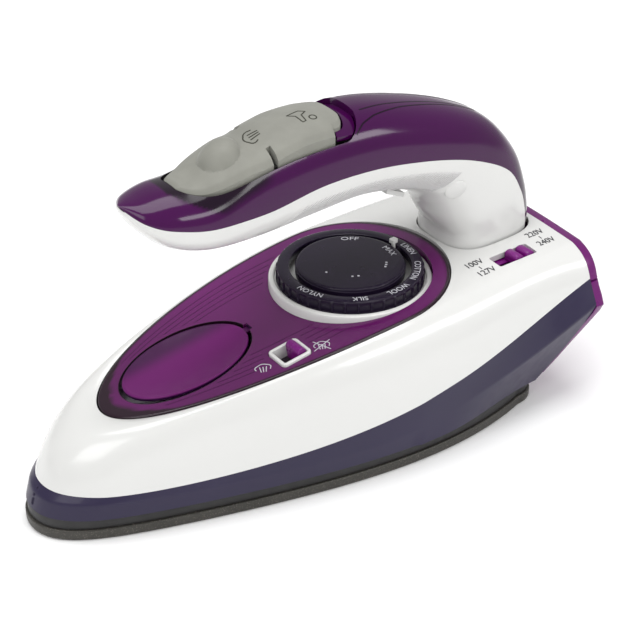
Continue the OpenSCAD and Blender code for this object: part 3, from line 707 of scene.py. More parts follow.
def skirt_section(u, side):
    """Closed section of the skirt: outside from the low edge to the seam, then inside."""
    low, crease, seam = guide_low(u), guide_crease(u), guide_seam(u)
    if low.x > PLATE_FOOT.x:
        share = min(0.98, (plate_line(low.x) - low.z) / (crease.z - low.z))
        low = low.lerp(crease, share)
    before = crease + (low - crease).normalized() * min(0.9, 0.4 * (crease - low).length)
    after = crease + (seam - crease).normalized() * min(0.9, 0.4 * (seam - crease).length)
    shares = evenly(0, 1, 6)[:-1]
    outer = [low.lerp(before, t) for t in shares]
    outer += [before * (1 - t) ** 2 + crease * 2 * t * (1 - t) + after * t * t for t in shares]
    outer += [after.lerp(seam, t) for t in evenly(0, 1, 5)]
    inner = [Vector((p.x, max(0.0, p.y - WALL), p.z)) for p in reversed(outer)]
    return [(p.x, side * p.y, p.z) for p in outer + inner]


def build_skirt():
    stations = spaced(120)
    rings = [skirt_section(u, 1) for u in reversed(stations[1:])]
    rings += [skirt_section(u, -1) for u in stations]
    piece("navy_band", loft(rings), "body", "navy_skirt", sharp=50, bevel=0.25,
          replaces=["skirt"])


# ---------- white upper shell ----------

FOOT_RIB = [60.6, 0, 96.6, 0, 16.1, 0, 3.2]
VOLTAGE_SPOT = node_middle("voltage_switch_body").xy
VOLTAGE_SLOT = (16.6, 6.5)


def foot_outline(gap):
    shares = [0.5 - 0.5 * math.cos(a) for a in evenly(0, math.pi, 48)]
    return both_sides([rib_point(FOOT_RIB, q, 1, -gap)[:2] for q in shares], 1, -1)


def deck_height(x, y):
    u = ramp(TANK_NOSE, SHELL_REAR, x)
    edge = guide_top(u).y
    t = max(0.0, 1 - abs(y) / edge)
    return deck_z(x) + 1.2 * u * math.sin(math.radians(90 * min(1.0, t)))


def build_white_shell():
    split = (DIAL_X - TANK_NOSE) / (SHELL_REAR - TANK_NOSE)
    stations = [split * t for t in spaced(90)]
    stations += evenly(split, 1, 44)[1:]
    rows = 26
    n = rows + 1
    shapes = []
    for side in (-1, 1):
        grid = [shell_point(u, s) for u in stations for s in evenly(0, 1, rows)]
        faces = [(i * n + j, (i + 1) * n + j, (i + 1) * n + j + 1, i * n + j + 1)
                 for i in range(len(stations) - 1) for j in range(rows)]
        shapes.append(([(p.x, side * p.y, p.z) for p in grid], faces))
    edge = [guide_top(u) for u in stations if guide_top(u).x > DIAL_X + 4]
    outer = [(p.x, -p.y) for p in edge]
    outer += [(SHELL_REAR, edge[-1].y * t / 12) for t in range(-11, 12)]
    outer += [(p.x, p.y) for p in reversed(edge)]
    outer += polar(DIAL_X, 0, TANK_HALF, TANK_HALF, range(84, -85, -3))
    holes = [foot_outline(0.5), rounded_box(*VOLTAGE_SPOT, *VOLTAGE_SLOT, 0.8)]
    deck_step = 2.2
    flat, faces = sheet_mesh(outer, holes, deck_step)
    shapes.append(([(x, y, deck_height(x, y)) for x, y in flat], faces))
    made = new_object("white_upper", merge_shapes(*shapes), WHITE, merge=0.02, upward=True)
    apply_modifier(made, "SOLIDIFY", thickness=WALL * MM, offset=-1)
    finish_piece(made, "body", sharp=50, bevel=0.25, replaces=["body_shell"])


# ---------- heel plate ----------

GLAND = node_middle("cord_gland")
GLAND_R = 6.55
SEAM_NICK = 43.4


def rod(start, radius, length, count=48):
    """A round bar along the iron's length."""
    circle = polar(start.y, start.z, radius, radius, full_turn(count))
    return loft([[(start.x + reach, y, z) for y, z in circle] for reach in (0, length)])


def build_heel_plate():
    """A thin plate closing the rear: upright above, slanted below, with rounded edges."""
    half = [Vector((guide_top(1).y * t, deck_z(SHELL_REAR) + 1.2 * math.cos(math.pi / 2 * t)))
            for t in evenly(0, 1, 8)]
    half += [Vector(shell_point(1, s / 12)[1:]) for s in range(11, -1, -1)]
    half += [Vector(p) for p in ((42.6, 41.2), (44.4, 38.2), (45.8, 35.0), (45.2, 32.6),
                                 (43.9, 27.8), (42.2, 22), (40.6, 16), (39.4, 12), (38.9, 10.4))]
    low_z = PLATE_FOOT.y
    half.append(Vector((36.5, low_z)))

    def outer_x(z):
        if z >= HEEL_LOW_Z:
            return HEEL_REAR
        return mix(PLATE_FOOT.x + 2.5, HEEL_REAR, ramp(low_z, HEEL_LOW_Z, z))

    def inner_x(z):
        return min(SHELL_REAR, PLATE_FOOT.x + (z - low_z) / PLATE_SLOPE)

    outline = [(p.x, p.y) for p in half] + [(-p.x, p.y) for p in reversed(half[1:])]
    rings = []
    for inset, share in ((0.0, 0.0), (0.0, 0.72), (0.25, 0.9), (0.8, 1.0)):
        flat = [(y, max(low_z, z)) for y, z in offset_outline(outline, inset)]
        rings.append([(mix(inner_x(z), outer_x(z), share), y, z) for y, z in flat])
    n = len(outline)
    points, faces = loft(rings, ends=None)
    for base, flip in ((0, -1), ((len(rings) - 1) * n, 1)):
        for k in range(1, (n - 1) // 2):
            faces.append((base + k, base + k + 1, base + n - k - 1, base + n - k)[::flip])
        faces.append((base, base + 1, base + n - 1))
    plate = piece("heel", (points, faces), "body", "heel_plastic", sharp=30)
    bore_x = SHELL_REAR - 2
    cut(plate, rod(Vector((bore_x, GLAND.y, GLAND.z)), GLAND_R, 12))
    for side in (-1, 1):
        cut(plate, rod(Vector((bore_x, side * 34, 39)), 1.65, 12, 24))
        nick = rounded_box(HEEL_REAR - 2, side * 45.2, 12, 9, 0.2, 2)
        cut(plate, prism(nick, SEAM_NICK - 0.4, SEAM_NICK + 0.4))
    finish_piece(plate, "body", sharp=30, replaces=["heel_plate"])



# ---------- water tank ----------

FILLER_LOW, FILLER_HIGH = node_box("filler_cover")
FILLER_X = (-65.0, -19.0)
FILLER_HALF = (FILLER_HIGH.y - FILLER_LOW.y) / 2
FILLER_MID = sum(FILLER_X) / 2
FILLER_LONG = (FILLER_X[1] - FILLER_X[0]) / 2
FILLER_TILT = math.radians(9.5)
FILLER_AXIS = (FILLER_X[1] + 2.6, tank_z(FILLER_X[1] + 2.6) - 1.2)
SELECTOR_SPOT = Vector((-15.8, -22.0))
SELECTOR_SIZE = (11.6, 10.4)


def tank_outline(inset):
    nose, half = TANK_NOSE + 1.5 * inset, TANK_HALF - inset
    front = [(mix(nose, DIAL_X, t), half * math.sqrt(max(0.0, 1 - (1 - t) ** 1.8)))
             for t in (share ** 2 for share in evenly(0, 1, 90))]
    return both_sides(front + polar(DIAL_X, 0, half, half, range(87, -1, -3)), 1, -1)


def filler_oval(grow):
    return polar(FILLER_MID, 0, (FILLER_LONG + grow) * math.cos(FILLER_TILT),
                 FILLER_HALF + grow, full_turn(96))


def tank_holes(grow=0.0):
    reach = BEZEL_R + 0.1 + grow
    selector = rounded_box(*SELECTOR_SPOT, *[size + 2 * grow for size in SELECTOR_SIZE], 1.6)
    return [filler_oval(1.15 + grow), polar(DIAL_X, 0, reach, reach, range(0, 360, 3)), selector]


def tank_painted_shade(x, y, outline, filler):
    """How much painted shade a spot gets, 0 to 1: in the band along the tank's edge or on the
    filler's hole.
    """
    if edge_distance((x, y), filler) < 0.1:
        return 1.0
    d = edge_distance((x, y), outline)
    band = mix(1.1, 5.0, ramp(-56, -73, x)) + 0.6 * smooth(44, 56, x)
    return 1 - smooth(band - 0.5, band + 0.5, d)


def build_tank():
    outer = tank_outline(TANK_GAP)
    filler = tank_holes()[0]
    roll, step, thickness = 0.6, 1.6, 2.6
    edge_rows = (0.12, 0.3, 0.6, 1.0, 1.6, 2.4, 3.4)
    flat, faces = sheet_mesh(outer, tank_holes(), step, edge_rows)
    points = []
    for x, y in flat:
        rest = max(0.0, roll - edge_distance((x, y), outer))
        points.append((x, y, tank_z(x) - roll + math.sqrt(max(0.0, roll * roll - rest * rest))))
    made = new_object("tank_top", (points, faces), TANK, upward=True)
    # Painted shade along the tank's edge and on the filler hole's wall, stored in the rim attribute.
    set_painted_shade(made, lambda p: tank_painted_shade(p.x, p.y, outer, filler))
    apply_modifier(made, "SOLIDIFY", thickness=thickness * MM, offset=-1)
    axis_x, axis_z = FILLER_AXIS
    for back, rise in ((1.9, 4), (0.2, 0.95)):
        pocket = rounded_box(axis_x - back, 0, 2.6, 3.6, 0.2, 2)
        cut(made, prism(pocket, axis_z - 3, axis_z + rise))
    finish_piece(made, "body", sharp=50, bevel=0.2, replaces=["tank_cover"])


def build_tank_grooves():
    """Flow lines moulded along both sides of the tank."""
    outer = tank_outline(TANK_GAP)
    holes = tank_holes(1.4)
    count, pace, stagger, spacing, bend = 5, 1.2, 3.0, 0.075, 0.05
    shapes = []
    for side, widest in ((-1, 0.76), (1, 0.83)):
        for k in range(count):
            run = []
            x, end = -58 + stagger * k, 22 - stagger * k
            while x < end:
                share = widest - spacing * k - bend * smooth(-20, 25, x)
                spot = (x, side * share * tank_w(x))
                clear = in_sheet(spot, outer, holes)
                if clear:
                    run.append(spot)
                if run and (not clear or x + pace >= end):
                    if len(run) > 6:
                        shapes.append(ribbon(run, 0.26, 0.04, tank_surface))
                    run = []
                x += pace
    piece("tank_grooves", merge_shapes(*shapes), "body", "tank_plastic", LINE)


def filler_point(x, y, z):
    """From the filler cover's own plane to the iron's frame."""
    c, s = math.cos(FILLER_TILT), math.sin(FILLER_TILT)
    return (FILLER_MID + x * c - z * s, y, tank_z(FILLER_MID) + x * s + z * c)


def build_filler():
    dish = (0.0, 0.1, 0.2, 0.3, 0.4, 0.5, 0.6, 0.7, 0.78, 0.85, 0.9, 0.94)
    profile = [(r, -1.8 + 2.3 * r ** 2.2) for r in dish]
    profile += [(0.96, 0.36), (0.975, 0.38), (0.988, 0.3), (0.996, 0.1), (1.0, -0.2),
                (1.0, -0.8), (0.92, -1.0), (0.75, -1.6), (0.5, -2.2), (0.0, -2.4)]
    oval = polar(0, 0, FILLER_LONG, FILLER_HALF, full_turn(128))
    flap = loft([[filler_point(r * x, r * y, z) for x, y in oval] for r, z in profile], ends=None)
    axis_x, axis_z = FILLER_AXIS
    circle = polar(axis_x, axis_z, 0.8, 0.8, full_turn(24))
    barrel = loft([[(x, y, z) for x, z in circle] for y in (-1.5, 1.5)])
    arm = prism(rounded_box(axis_x - 2.1, 0, 4.2, 2.6, 0.3, 3), axis_z - 0.7, axis_z)
    made = piece("filler_dish", merge_shapes(flap, barrel, arm), "filler", "tank_plastic", FILLER,
                 sharp=40, replaces=["filler_cover"])
    c, s = math.cos(FILLER_TILT), math.sin(FILLER_TILT)

    def filler_painted_shade(p):
        """Painted shade: dark on the upright edge, and towards the dish's far side."""
        dx, dz = p.x - FILLER_MID, p.z - tank_z(FILLER_MID)
        reach = math.hypot((dx * c + dz * s) / FILLER_LONG, p.y / FILLER_HALF)
        wall = smooth(0.985, 0.995, reach) * smooth(0.15, 0.0, dz * c - dx * s)
        return max(wall, 0.75 * smooth(0.2, 0.75, p.y / FILLER_HALF + 0.25 * (reach - 0.9)))
    set_painted_shade(made, filler_painted_shade)


# ---------- dial ----------

KNURLS = 36
POINTER_R = 19.9
SLOT_HALF = 1.0
POINTER_ANGLE = 5.0
WEB = (8.5, 48.0)


def arc_text(text, size, radius, angle, z, shapes, narrow=0.9):
    """Letters round the dial, tops outwards, read clockwise from above."""
    points, faces = text_shape(text, size)
    placed = []
    for x, y, h in points:
        a = math.radians(angle) - narrow * x / radius
        r = radius + y
        placed.append((DIAL_X + r * math.cos(a), r * math.sin(a), z + h))
    shapes.append((placed, faces))


def dots(angles, radius, z, size, shapes):
    for a in angles:
        a = math.radians(a)
        spot = (DIAL_X + radius * math.cos(a), radius * math.sin(a))
        shapes.append(lathe([(0.02, z - 0.1), (size, z - 0.1), (size * 0.8, z + 0.08),
                             (0.02, z + 0.12)], spot, 16))


def build_dial():
    center = (DIAL_X, 0.0)
    seat = DIAL_LOW.z + 4.6
    plate = BEZEL_LOW.z
    rise = 51.8
    bezel = [(7.0, plate), (BEZEL_R, plate), (BEZEL_R, rise - 0.9), (BEZEL_R - 0.25, rise - 0.3),
             (BEZEL_R - 0.8, rise), (KNOB_R + 1.0, rise), (KNOB_R + 0.6, rise - 0.25),
             (KNOB_R + 0.5, rise - 0.7), (KNOB_R + 0.5, seat), (7.0, seat)]
    turn = math.radians(POINTER_ANGLE)

    def spun(outline):
        return [(DIAL_X + x * math.cos(turn) - y * math.sin(turn),
                 x * math.sin(turn) + y * math.cos(turn)) for x, y in outline]
    head = spun(rounded_box(POINTER_R, 0, 2.6, 2.3, 0.6, 4))
    post = spun(rounded_box(POINTER_R, 0, 1.3, 1.3, 0.5, 4))
    head_low = CAP_HIGH.z + 0.35
    shape = merge_shapes(lathe(bezel, center), prism(post, seat - 0.4, head_low + 0.2),
                         prism(head, head_low, BEZEL_HIGH.z))
    piece("bezel", shape, "body", "white_shell", sharp=32, bevel=0.12,
          replaces=["dial_bezel"])

    ring_top = 55.6
    low = DIAL_LOW.z + 5.0
    pitch = 2 * math.pi / KNURLS

    def knurled(r, z, angle):
        if r < KNOB_R - 0.4 or z < low + 0.2:
            return r
        phase = (angle % pitch) / pitch
        away = abs(phase - 0.5) * 2
        fade = 1 - smooth(ring_top - 1.1, ring_top - 0.3, z)
        return r - 0.45 * (1 - smooth(0.76, 0.9, away)) * fade

    inner = POINTER_R + SLOT_HALF
    ring = [(inner, low + 2), (KNOB_R - 2, low + 2), (KNOB_R - 2, low), (KNOB_R, low),
            (KNOB_R, low + 0.4), (KNOB_R, ring_top - 1.2), (KNOB_R - 0.12, ring_top - 0.7),
            (KNOB_R - 0.45, ring_top - 0.25), (KNOB_R - 1.0, ring_top), (inner + 0.5, ring_top),
            (inner + 0.12, ring_top - 0.15), (inner, ring_top - 0.5)]
    disc = [(2.5, low - 4.6), (5, low - 4.6), (5, low + 2), (DISC_R, low + 2),
            (DISC_R, CAP_LOW.z - 0.3), (DISC_R - 0.3, CAP_LOW.z), (2.5, CAP_LOW.z)]
    web = [(DISC_R - 0.2, low + 2), (inner + 0.2, low + 2), (inner + 0.2, ring_top - 1.6),
           (DISC_R - 0.2, ring_top - 1.6)]
    shape = merge_shapes(lathe(ring, center, KNURLS * 18, radius=knurled), lathe(disc, center),
                         lathe(web, center, 24, WEB[0], WEB[1] - WEB[0]))
    piece("knob", shape, "dial", "dial_plastic", DIAL, sharp=35, replaces=["dial_knob"])

    r = DISC_R - 0.3
    crown = [(0.02, CAP_LOW.z), (r, CAP_LOW.z), (r, CAP_LOW.z + 0.3), (r - 0.12, CAP_LOW.z + 0.55),
             (r - 0.45, CAP_HIGH.z - 0.06), (r - 1.2, CAP_HIGH.z), (0.02, CAP_HIGH.z)]
    piece("knob_cap", lathe(crown, center), "dial", "dial_plastic", DIAL, sharp=35,
          replaces=["dial_cap"])

    marks = []
    fabric_r = 22.9
    for text, angle in (("NYLON", -162), ("SILK", -118), ("WOOL", -82), ("COTTON", -46),
                        ("LINEN", -8)):
        arc_text(text, 3.2, fabric_r, angle, ring_top, marks)
    arc_text("OFF", 3.0, 16.0, 54.6, CAP_HIGH.z, marks, 1.2)
    arc_text("MAX", 3.0, 15.6, -6, CAP_HIGH.z, marks, 1.05)
    for angles, radius in (([-174.7], 10.8), ([-122, -110], 9.8), ([-51, -44.3, -37.6], 12.3)):
        dots(angles, radius, CAP_HIGH.z, 0.5, marks)
    piece("dial_marks", merge_shapes(*marks), "dial", "dial_plastic", INK_WHITE)


# ---------- steam and voltage selectors ----------

def on_selector(shape):
    """From the steam selector's own plane to the iron's frame."""
    at = SELECTOR_SPOT
    tilt = math.atan2(tank_z(at.x + 1) - tank_z(at.x - 1), 2)
    c, s = math.cos(tilt), math.sin(tilt)
    return [(at.x + x * c - z * s, at.y + y, tank_z(at.x) + x * s + z * c)
            for x, y, z in shape[0]], shape[1]


def hollow_frame(long, wide, corner, rim, low, floor, high):
    """An open tray: outer wall, rounded rim and a floor."""
    levels = [(0.0, low), (0.0, high - 0.35), (0.1, high - 0.12), (0.32, high),
              (rim - 0.25, high), (rim - 0.05, high - 0.15), (rim, high - 0.4), (rim, floor)]
    return loft([[(x, y, z) for x, y in rounded_box(0, 0, long - 2 * inset, wide - 2 * inset,
                                                    max(0.3, corner - inset))]
                 for inset, z in levels], ends="flat")


# Stations across the steam slider, and how much it is shrunk at each.
END_ROUNDING = ((-3.6, 0.2), (-3.45, 0.06), (-3.2, 0.0), (3.2, 0.0), (3.45, 0.06), (3.6, 0.2))


def build_steam_selector():
    long, wide = SELECTOR_SIZE[0] - 0.3, SELECTOR_SIZE[1] - 0.3
    tray = hollow_frame(long, wide, 1.6, 1.2, -5.0, -4.0, 0.9)
    piece("steam_selector_frame", on_selector(tray), "body", "white_shell", sharp=40,
          replaces=["steam_frame"])
    floor = prism(rounded_box(0, 0, long - 2.5, wide - 2.5, 0.4), -3.98, -3.7)
    piece("steam_selector_floor", on_selector(floor), "body", "tank_plastic", GLOOM)

    w = 3.4
    rear = long / 2 - 1.2 - 0.3
    rings = []
    for y, shrink in END_ROUNDING:
        r = w / 2 - shrink
        top = polar(rear - w / 2, 0.7, r, r, [15 * i for i in range(13)])
        rings.append([(x, y, z) for x, z in [(rear - w + shrink, -3.6), (rear - shrink, -3.6)] + top])
    low_x, high_x = rear - w + 0.8, rear - 0.8
    stem = prism([(low_x, -0.8), (high_x, -0.8), (high_x, 0.8), (low_x, 0.8)], -6.4, -3.5)
    ridge = on_selector(merge_shapes(loft(rings, ends="flat"), stem))
    piece("steam_ridge", ridge, "steam_selector", "heel_plastic", SLIDER, sharp=40,
          replaces=["steam_slider"])

    cloud = cloud_icon(2.6)
    crossed = cloud + [[(-2.7, -2.5), (2.7, 2.5)], [(-2.7, 2.5), (2.7, -2.5)]]
    shapes = [icon_ribbon(line, (-26.3, -22.0), tank_surface, 0.3) for line in cloud]
    shapes += [icon_ribbon(line, (-6.0, -26.0), tank_surface, 0.27) for line in crossed]
    piece("steam_icons", merge_shapes(*shapes), "body", "tank_plastic", INK_WHITE)


ICON_TURN = math.radians(-30)


def cloud_icon(size):
    """A puff of steam: an arched top in three lobes and three short jets under it."""
    arc = []
    for i in range(41):
        t = i / 40
        a = math.radians(205 - 230 * t)
        r = size * (0.92 + 0.1 * abs(math.sin(3.2 * math.pi * t)))
        arc.append((r * math.cos(a), 0.78 * r * math.sin(a)))
    return [arc] + [[(k * 0.42 * size, 0.25 * size), (k * 0.3 * size + 0.1, -0.75 * size)]
                    for k in (-1, 0, 1)]


def refined(line, count_for):
    """A broken line whose segments are each cut into count_for(length) steps."""
    path = []
    for a, b in zip(line, line[1:]):
        count = count_for(math.dist(a, b))
        path += list(zip(evenly(a[0], b[0], count), evenly(a[1], b[1], count)))[:-1]
    return path + [line[-1]]


def icon_ribbon(line, spot, surface, width, turn=ICON_TURN):
    c, s = math.cos(turn), math.sin(turn)
    path = [(spot[0] + x * c - y * s, spot[1] + x * s + y * c)
            for x, y in refined(line, lambda length: max(1, int(length / 0.5)))]
    return ribbon(path, width, 0.07, surface)


def build_voltage_selector():
    top = deck_z(VOLTAGE_SPOT.x) + 0.6
    low = node_box("voltage_slider")[0].z
    rear = VOLTAGE_SPOT.x + VOLTAGE_SLOT[0] / 2 - 0.4
    length, half = 9.2, 2.9
    profile = [(0.0, top - 1.6), (0.0, top - 1.0)]
    for start in (0.0, 4.9):
        for i in range(9):
            a = math.pi * (1 - i / 8)
            profile.append((start + 1.7 * (1 + math.cos(a)), top - 0.5 + 1.2 * math.sin(a) ** 0.7))
        profile += [(start + 3.6, top - 1.3), (start + 4.7, top - 1.3)]
    profile = [p for p in profile if p[0] < length]
    profile += [(length, top - 1.3), (length, top - 1.6)]
    rings = []
    for y, shrink in ((-half, 0.3), (-half + 0.1, 0.1), (-half + 0.35, 0.0), (half - 0.35, 0.0),
                      (half - 0.1, 0.1), (half, 0.3)):
        rings.append([(rear - length + x, VOLTAGE_SPOT.y + y, z - shrink) for x, z in profile])

    def bar(long, wide, from_z, to_z):
        return prism(rounded_box(rear - length / 2, VOLTAGE_SPOT.y, long, wide, 0.3, 3),
                     from_z, to_z)
    shape = merge_shapes(loft(rings, ends="flat"), bar(length, 2 * half, top - 2.6, top - 1.4),
                         bar(length - 4, 1.6, low, top - 2.4))
    piece("voltage_ridge", shape, "voltage_selector", "heel_plastic", SLIDER, sharp=40,
          replaces=["voltage_slider"])
    floors = [prism(rounded_box(VOLTAGE_SPOT.x, VOLTAGE_SPOT.y + side * 2.7,
                                VOLTAGE_SLOT[0] + 1.5, 3.3, 0.4, 3), top - 3.5, top - 3.0)
              for side in (-1, 1)]
    piece("voltage_floor", merge_shapes(*floors), "body", "heel_plastic", SLIDER)

    legends = []
    for text, x, y in (("100V", 60.4, -22.5), ("127V", 60.9, -28.7), ("220V", 90.4, -19.6),
                       ("240V", 90.4, -25.8)):
        points, faces = text_shape(text, 3.9)
        flat = [(x + 0.92 * px, y + py, pz + 0.1) for px, py, pz in points]
        legends.append(([(px, py, pz + deck_height(px, py)) for px, py, pz in flat], faces))
    for x, y in ((60.7, -25.6), (90.4, -22.7)):
        legends.append(ribbon([(x, y - 0.8), (x, y + 0.8)], 0.3, 0.1, deck_height))
    piece("voltage_legends", merge_shapes(*legends), "body", "white_shell", INK_GREY)


# ---------- handle ----------

HANDLE_RIBS = [
    [-62.4, 104.0, -62.7, 105.2, 1, 0.4, 2.2],
    [-59, 97, -57.5, 106, 9, 0.45, 2.2],
    [-51, 89.5, -49.5, 107.3, 13.5, 0.49, 2.3],
    [-38, 84.6, -36, 107.9, 15.5, 0.48, 2.4],
    [-20, 83, -18, 115.2, 16, 0.4, 2.4],
    [1, 84.2, 4, 117.6, 16, 0.44, 2.4],
    [20, 85.3, 26, 116.4, 16, 0.43, 2.4],
    [37, 82.5, 47, 111.6, 16, 0.46, 2.4],
    [47.5, 77.5, 66, 104.8, 15.8, 0.53, 2.5],
    [52.5, 72, 79.5, 96.8, 15.5, 0.62, 2.6],
    [55, 67, 89.6, 84.5, 15.6, 0.76, 2.9],
    [57.6, 63, 93.8, 73, 16.2, 0.82, 3.1],
    [60.4, 59.4, 95.6, 64.5, 16, 0.84, 3.2],
    [60.4, 55.5, 96.2, 58.5, 16, 0.85, 3.2],
    [60.7, 50.5, 96.2, 54.5, 15.8, 0.86, 3.2]]
WIDEST = 0.43
STATIONS = 150


def rib(t):
    """Rib of the handle at t, from 0 at the tip to the last at the foot."""
    last = len(HANDLE_RIBS) - 1
    k = min(last - 1, int(t))
    f = t - k
    rows = [HANDLE_RIBS[i] for i in (max(0, k - 1), k, k + 1, min(last, k + 2))]
    return [0.5 * (2 * b + (c - a) * f + (2 * a - 5 * b + 4 * c - d) * f * f
                   + (3 * b - a - 3 * c + d) * f ** 3) for a, b, c, d in zip(*rows)]


def rib_size(r, inset):
    """Length of a rib, and an inset that is kept small enough for it."""
    length = math.hypot(r[2] - r[0], r[3] - r[1])
    return length, min(inset, 0.3 * length, 0.5 * r[4])


def rib_point(r, q, side, inset=0.0):
    """Point of a rib at fraction q from the underside to the top, on one side."""
    length, w = rib_size(r, inset)
    dx, dz = (r[2] - r[0]) / length, (r[3] - r[1]) / length
    if q < WIDEST:
        front = 2.3 + 0.7 * smooth(75, 60, r[3])
        bow = (1 - ((WIDEST - q) / WIDEST) ** front) ** (1 / front)
    else:
        bow = max(0.0, 1 - ((q - WIDEST) / (1 - WIDEST)) ** r[6]) ** (1 / r[6])
    h = w + q * (length - 2 * w)
    return (r[0] + dx * h, side * (r[4] - w) * bow, r[1] + dz * h)


def inner_seam(r, inset):
    """Fraction of the inset rib at which the seam between the two shells lies."""
    length, w = rib_size(r, inset)
    return (r[5] * length - w) / (length - 2 * w)


def shell_section(r, upper):
    """Closed section of the lower or upper handle shell at a rib."""
    turns = evenly(0, math.pi / 2, 26)

    def path(seam, inset, side):
        """From one seam to the other by way of the shell's crown, starting on a side."""
        shares = ([mix(seam, 1, math.sin(a)) for a in turns] if upper
                  else [mix(0, seam, 1 - math.cos(a)) for a in reversed(turns)])
        return ([rib_point(r, q, side, inset) for q in shares]
                + [rib_point(r, q, -side, inset) for q in reversed(shares[:-1])])
    first = -1 if upper else 1
    return path(r[5], 0.0, first) + path(inner_seam(r, WALL), WALL, -first)


PAD_X = (-44.5, 15.6)
RECESS_REAR = 20.2
RECESS_LOW = 102
ABOVE_HANDLE = 130
PAD_HALF = 13.0
PAD_T = 3.0
PAD_CHAMFER = 1.3


def recess_w(x):
    front = max(0.0, 1 - (max(0.0, -12 - x) / 33.3) ** 3) ** 0.5
    return PAD_HALF * front * (1 - ramp(11, RECESS_REAR, x) ** 2.6) ** 0.5


def recess_rear(y):
    """Where the recess behind the pad ends, at a distance from the middle line."""
    return 11 + (RECESS_REAR - 11) * (1 - (y / PAD_HALF) ** 2) ** (1 / 2.6)


def pad_w(x):
    """Half width of the pad: a shoulder near its rear end, then a rounded tongue."""
    shoulder = recess_w(x) - 2.6 * smooth(8.4, 9.3, x)
    return shoulder * (1 - ramp(9.5, PAD_X[1] + 0.2, x) ** 2.8) ** 0.5


def pad_rear(y):
    """Where the pad ends, at a distance from the middle line."""
    x = PAD_X[1]
    while x > 8 and pad_w(x) < abs(y):
        x -= 0.05
    return x


def pad_z(x):
    return (117.9 - 0.0055 * (x - 3) ** 2 - 0.0007 * max(0.0, -10 - x) ** 2
            + 0.045 * max(0.0, -36 - x) ** 2)


def recess_outline(grow, steps=60):
    half = [(x + grow * side, recess_w(x) + grow)
            for x, side in zip(evenly(PAD_X[0], RECESS_REAR - 0.7, steps), evenly(-1, 1, steps))]
    return both_sides(half, 0)


PAD_BAND = recess_outline(0.7, 30)


def build_handle():
    last = len(HANDLE_RIBS) - 1
    under = loft([shell_section(rib(t), False) for t in evenly(0.33, last, STATIONS)])
    piece("handle_under", under, "handle", "white_shell", sharp=50, bevel=0.25,
          replaces=["handle_base"])
    upper = loft([shell_section(rib(t), True) for t in evenly(0.0, last - 0.67, STATIONS)])
    cover = piece("handle_upper", upper, "handle", "handle_tint", sharp=50)
    cut(cover, prism(recess_outline(0.7), RECESS_LOW, ABOVE_HANDLE))
    finish_piece(cover, "handle", sharp=50, bevel=0.3, replaces=["handle_cover"])
    set_painted_shade(cover, cover_shadow)


def cover_shadow(p):
    """Painted shade on the tinted cover: round the pad's front and beside the heel."""
    beside = edge_distance((p.x, p.y), PAD_BAND) if p.z > 98 else 9.0
    band = (1 - smooth(2.8, 3.6, beside)) * smooth(-14, -20, p.x)
    band *= smooth(-12, -8, p.z - pad_z(p.x))
    back = 0.8 * smooth(84, 90, p.x) * smooth(9, 12, abs(p.y))
    return max(band, back)


def handle_frame(t, q, side):
    """Point on the handle's outside, with its lengthwise, upward and outward directions."""
    def at(station, share):
        return Vector(rib_point(rib(station), share, side))
    way = (at(t + 0.05, q) - at(t - 0.05, q)).normalized()
    up = (at(t, q + 0.005) - at(t, q - 0.005)).normalized()
    normal = way.cross(up).normalized()
    if normal.y * side < 0:
        normal = -normal
    return at(t, q), way, normal.cross(way), normal


def build_grip():
    """Fine slanting ridges moulded round the middle of the white underside."""
    shapes = []
    count, lean, half_width, height, sink = 44, 0.45, 0.34, 0.34, 0.02
    for side in (-1, 1):
        for start in evenly(4.3, 7.9, count - 1):
            rings = []
            for share in evenly(0, 1, 14):
                t = start + lean * share
                q = mix(0.1, rib(t)[5] - 0.13, share)
                center, way, _, normal = handle_frame(t, q, side)
                lift = height * math.sin(math.pi * share) ** 0.5 if 0 < share < 1 else 0.0
                rings.append([tuple(center + way * a + normal * (b - sink))
                              for a, b in polar(0, 0, half_width, lift, full_turn(6))])
            shapes.append(loft(rings))
    # The ridges are a darker white, painted shade that makes them read.
    piece("grip_ridges", merge_shapes(*shapes), "handle", "white_shell", GRIP_SHADE, sharp=80)


def build_boss():
    """A low round boss on each side of the handle's column."""
    shapes = []
    profile = [(0.01, 0.25), (2.6, 0.22), (3.6, 0.12), (4.0, -0.1), (4.0, -1.2), (0.01, -1.2)]
    for side in (-1, 1):
        center, way, up, normal = handle_frame(8.7, 0.25, side)
        shapes.append(loft([[tuple(center + way * a + up * b + normal * height)
                             for a, b in polar(0, 0, radius, radius, full_turn(40))]
                            for radius, height in profile]))
    piece("column_boss", merge_shapes(*shapes), "handle", "white_shell", sharp=60)


STYLE_LINES = (
    [(5.85, 6.2), (6.3, 4.9), (6.8, 3.9), (7.4, 3.0), (8.0, 2.3), (8.6, 1.8)],
    [(5.62, 12.9), (5.78, 10.9), (6.05, 9.0), (6.64, 6.5), (7.3, 4.9), (8.0, 3.5), (8.6, 2.7)])


def build_style_lines():
    """Grooves drawn as thin strips of painted shade that run back from the recess and close up along
    the handle's top.
    """
    shapes = []
    half_width, depth, lift = 0.26, 0.1, 0.04
    for side in (-1, 1):
        for line in STYLE_LINES:
            spots = []
            for t, y in refined(line, lambda length: 12):
                r = rib(t)
                q = mix(WIDEST, 1, (1 - (y / r[4]) ** r[6]) ** (1 / r[6]))
                spots.append(handle_frame(t, q, side))
            rings = []
            for i, (center, _, _, normal) in enumerate(spots):
                ahead = spots[min(i + 1, len(spots) - 1)][0]
                across = (ahead - spots[max(i - 1, 0)][0]).cross(normal).normalized() * half_width
                rings.append([tuple(center + across * s + normal * up)
                              for s, up in ((-1, -depth), (1, -depth), (1, lift), (-1, lift))])
            shapes.append(loft(rings))
    piece("style_lines", merge_shapes(*shapes), "handle", "handle_tint", GROOVE_SHADE)


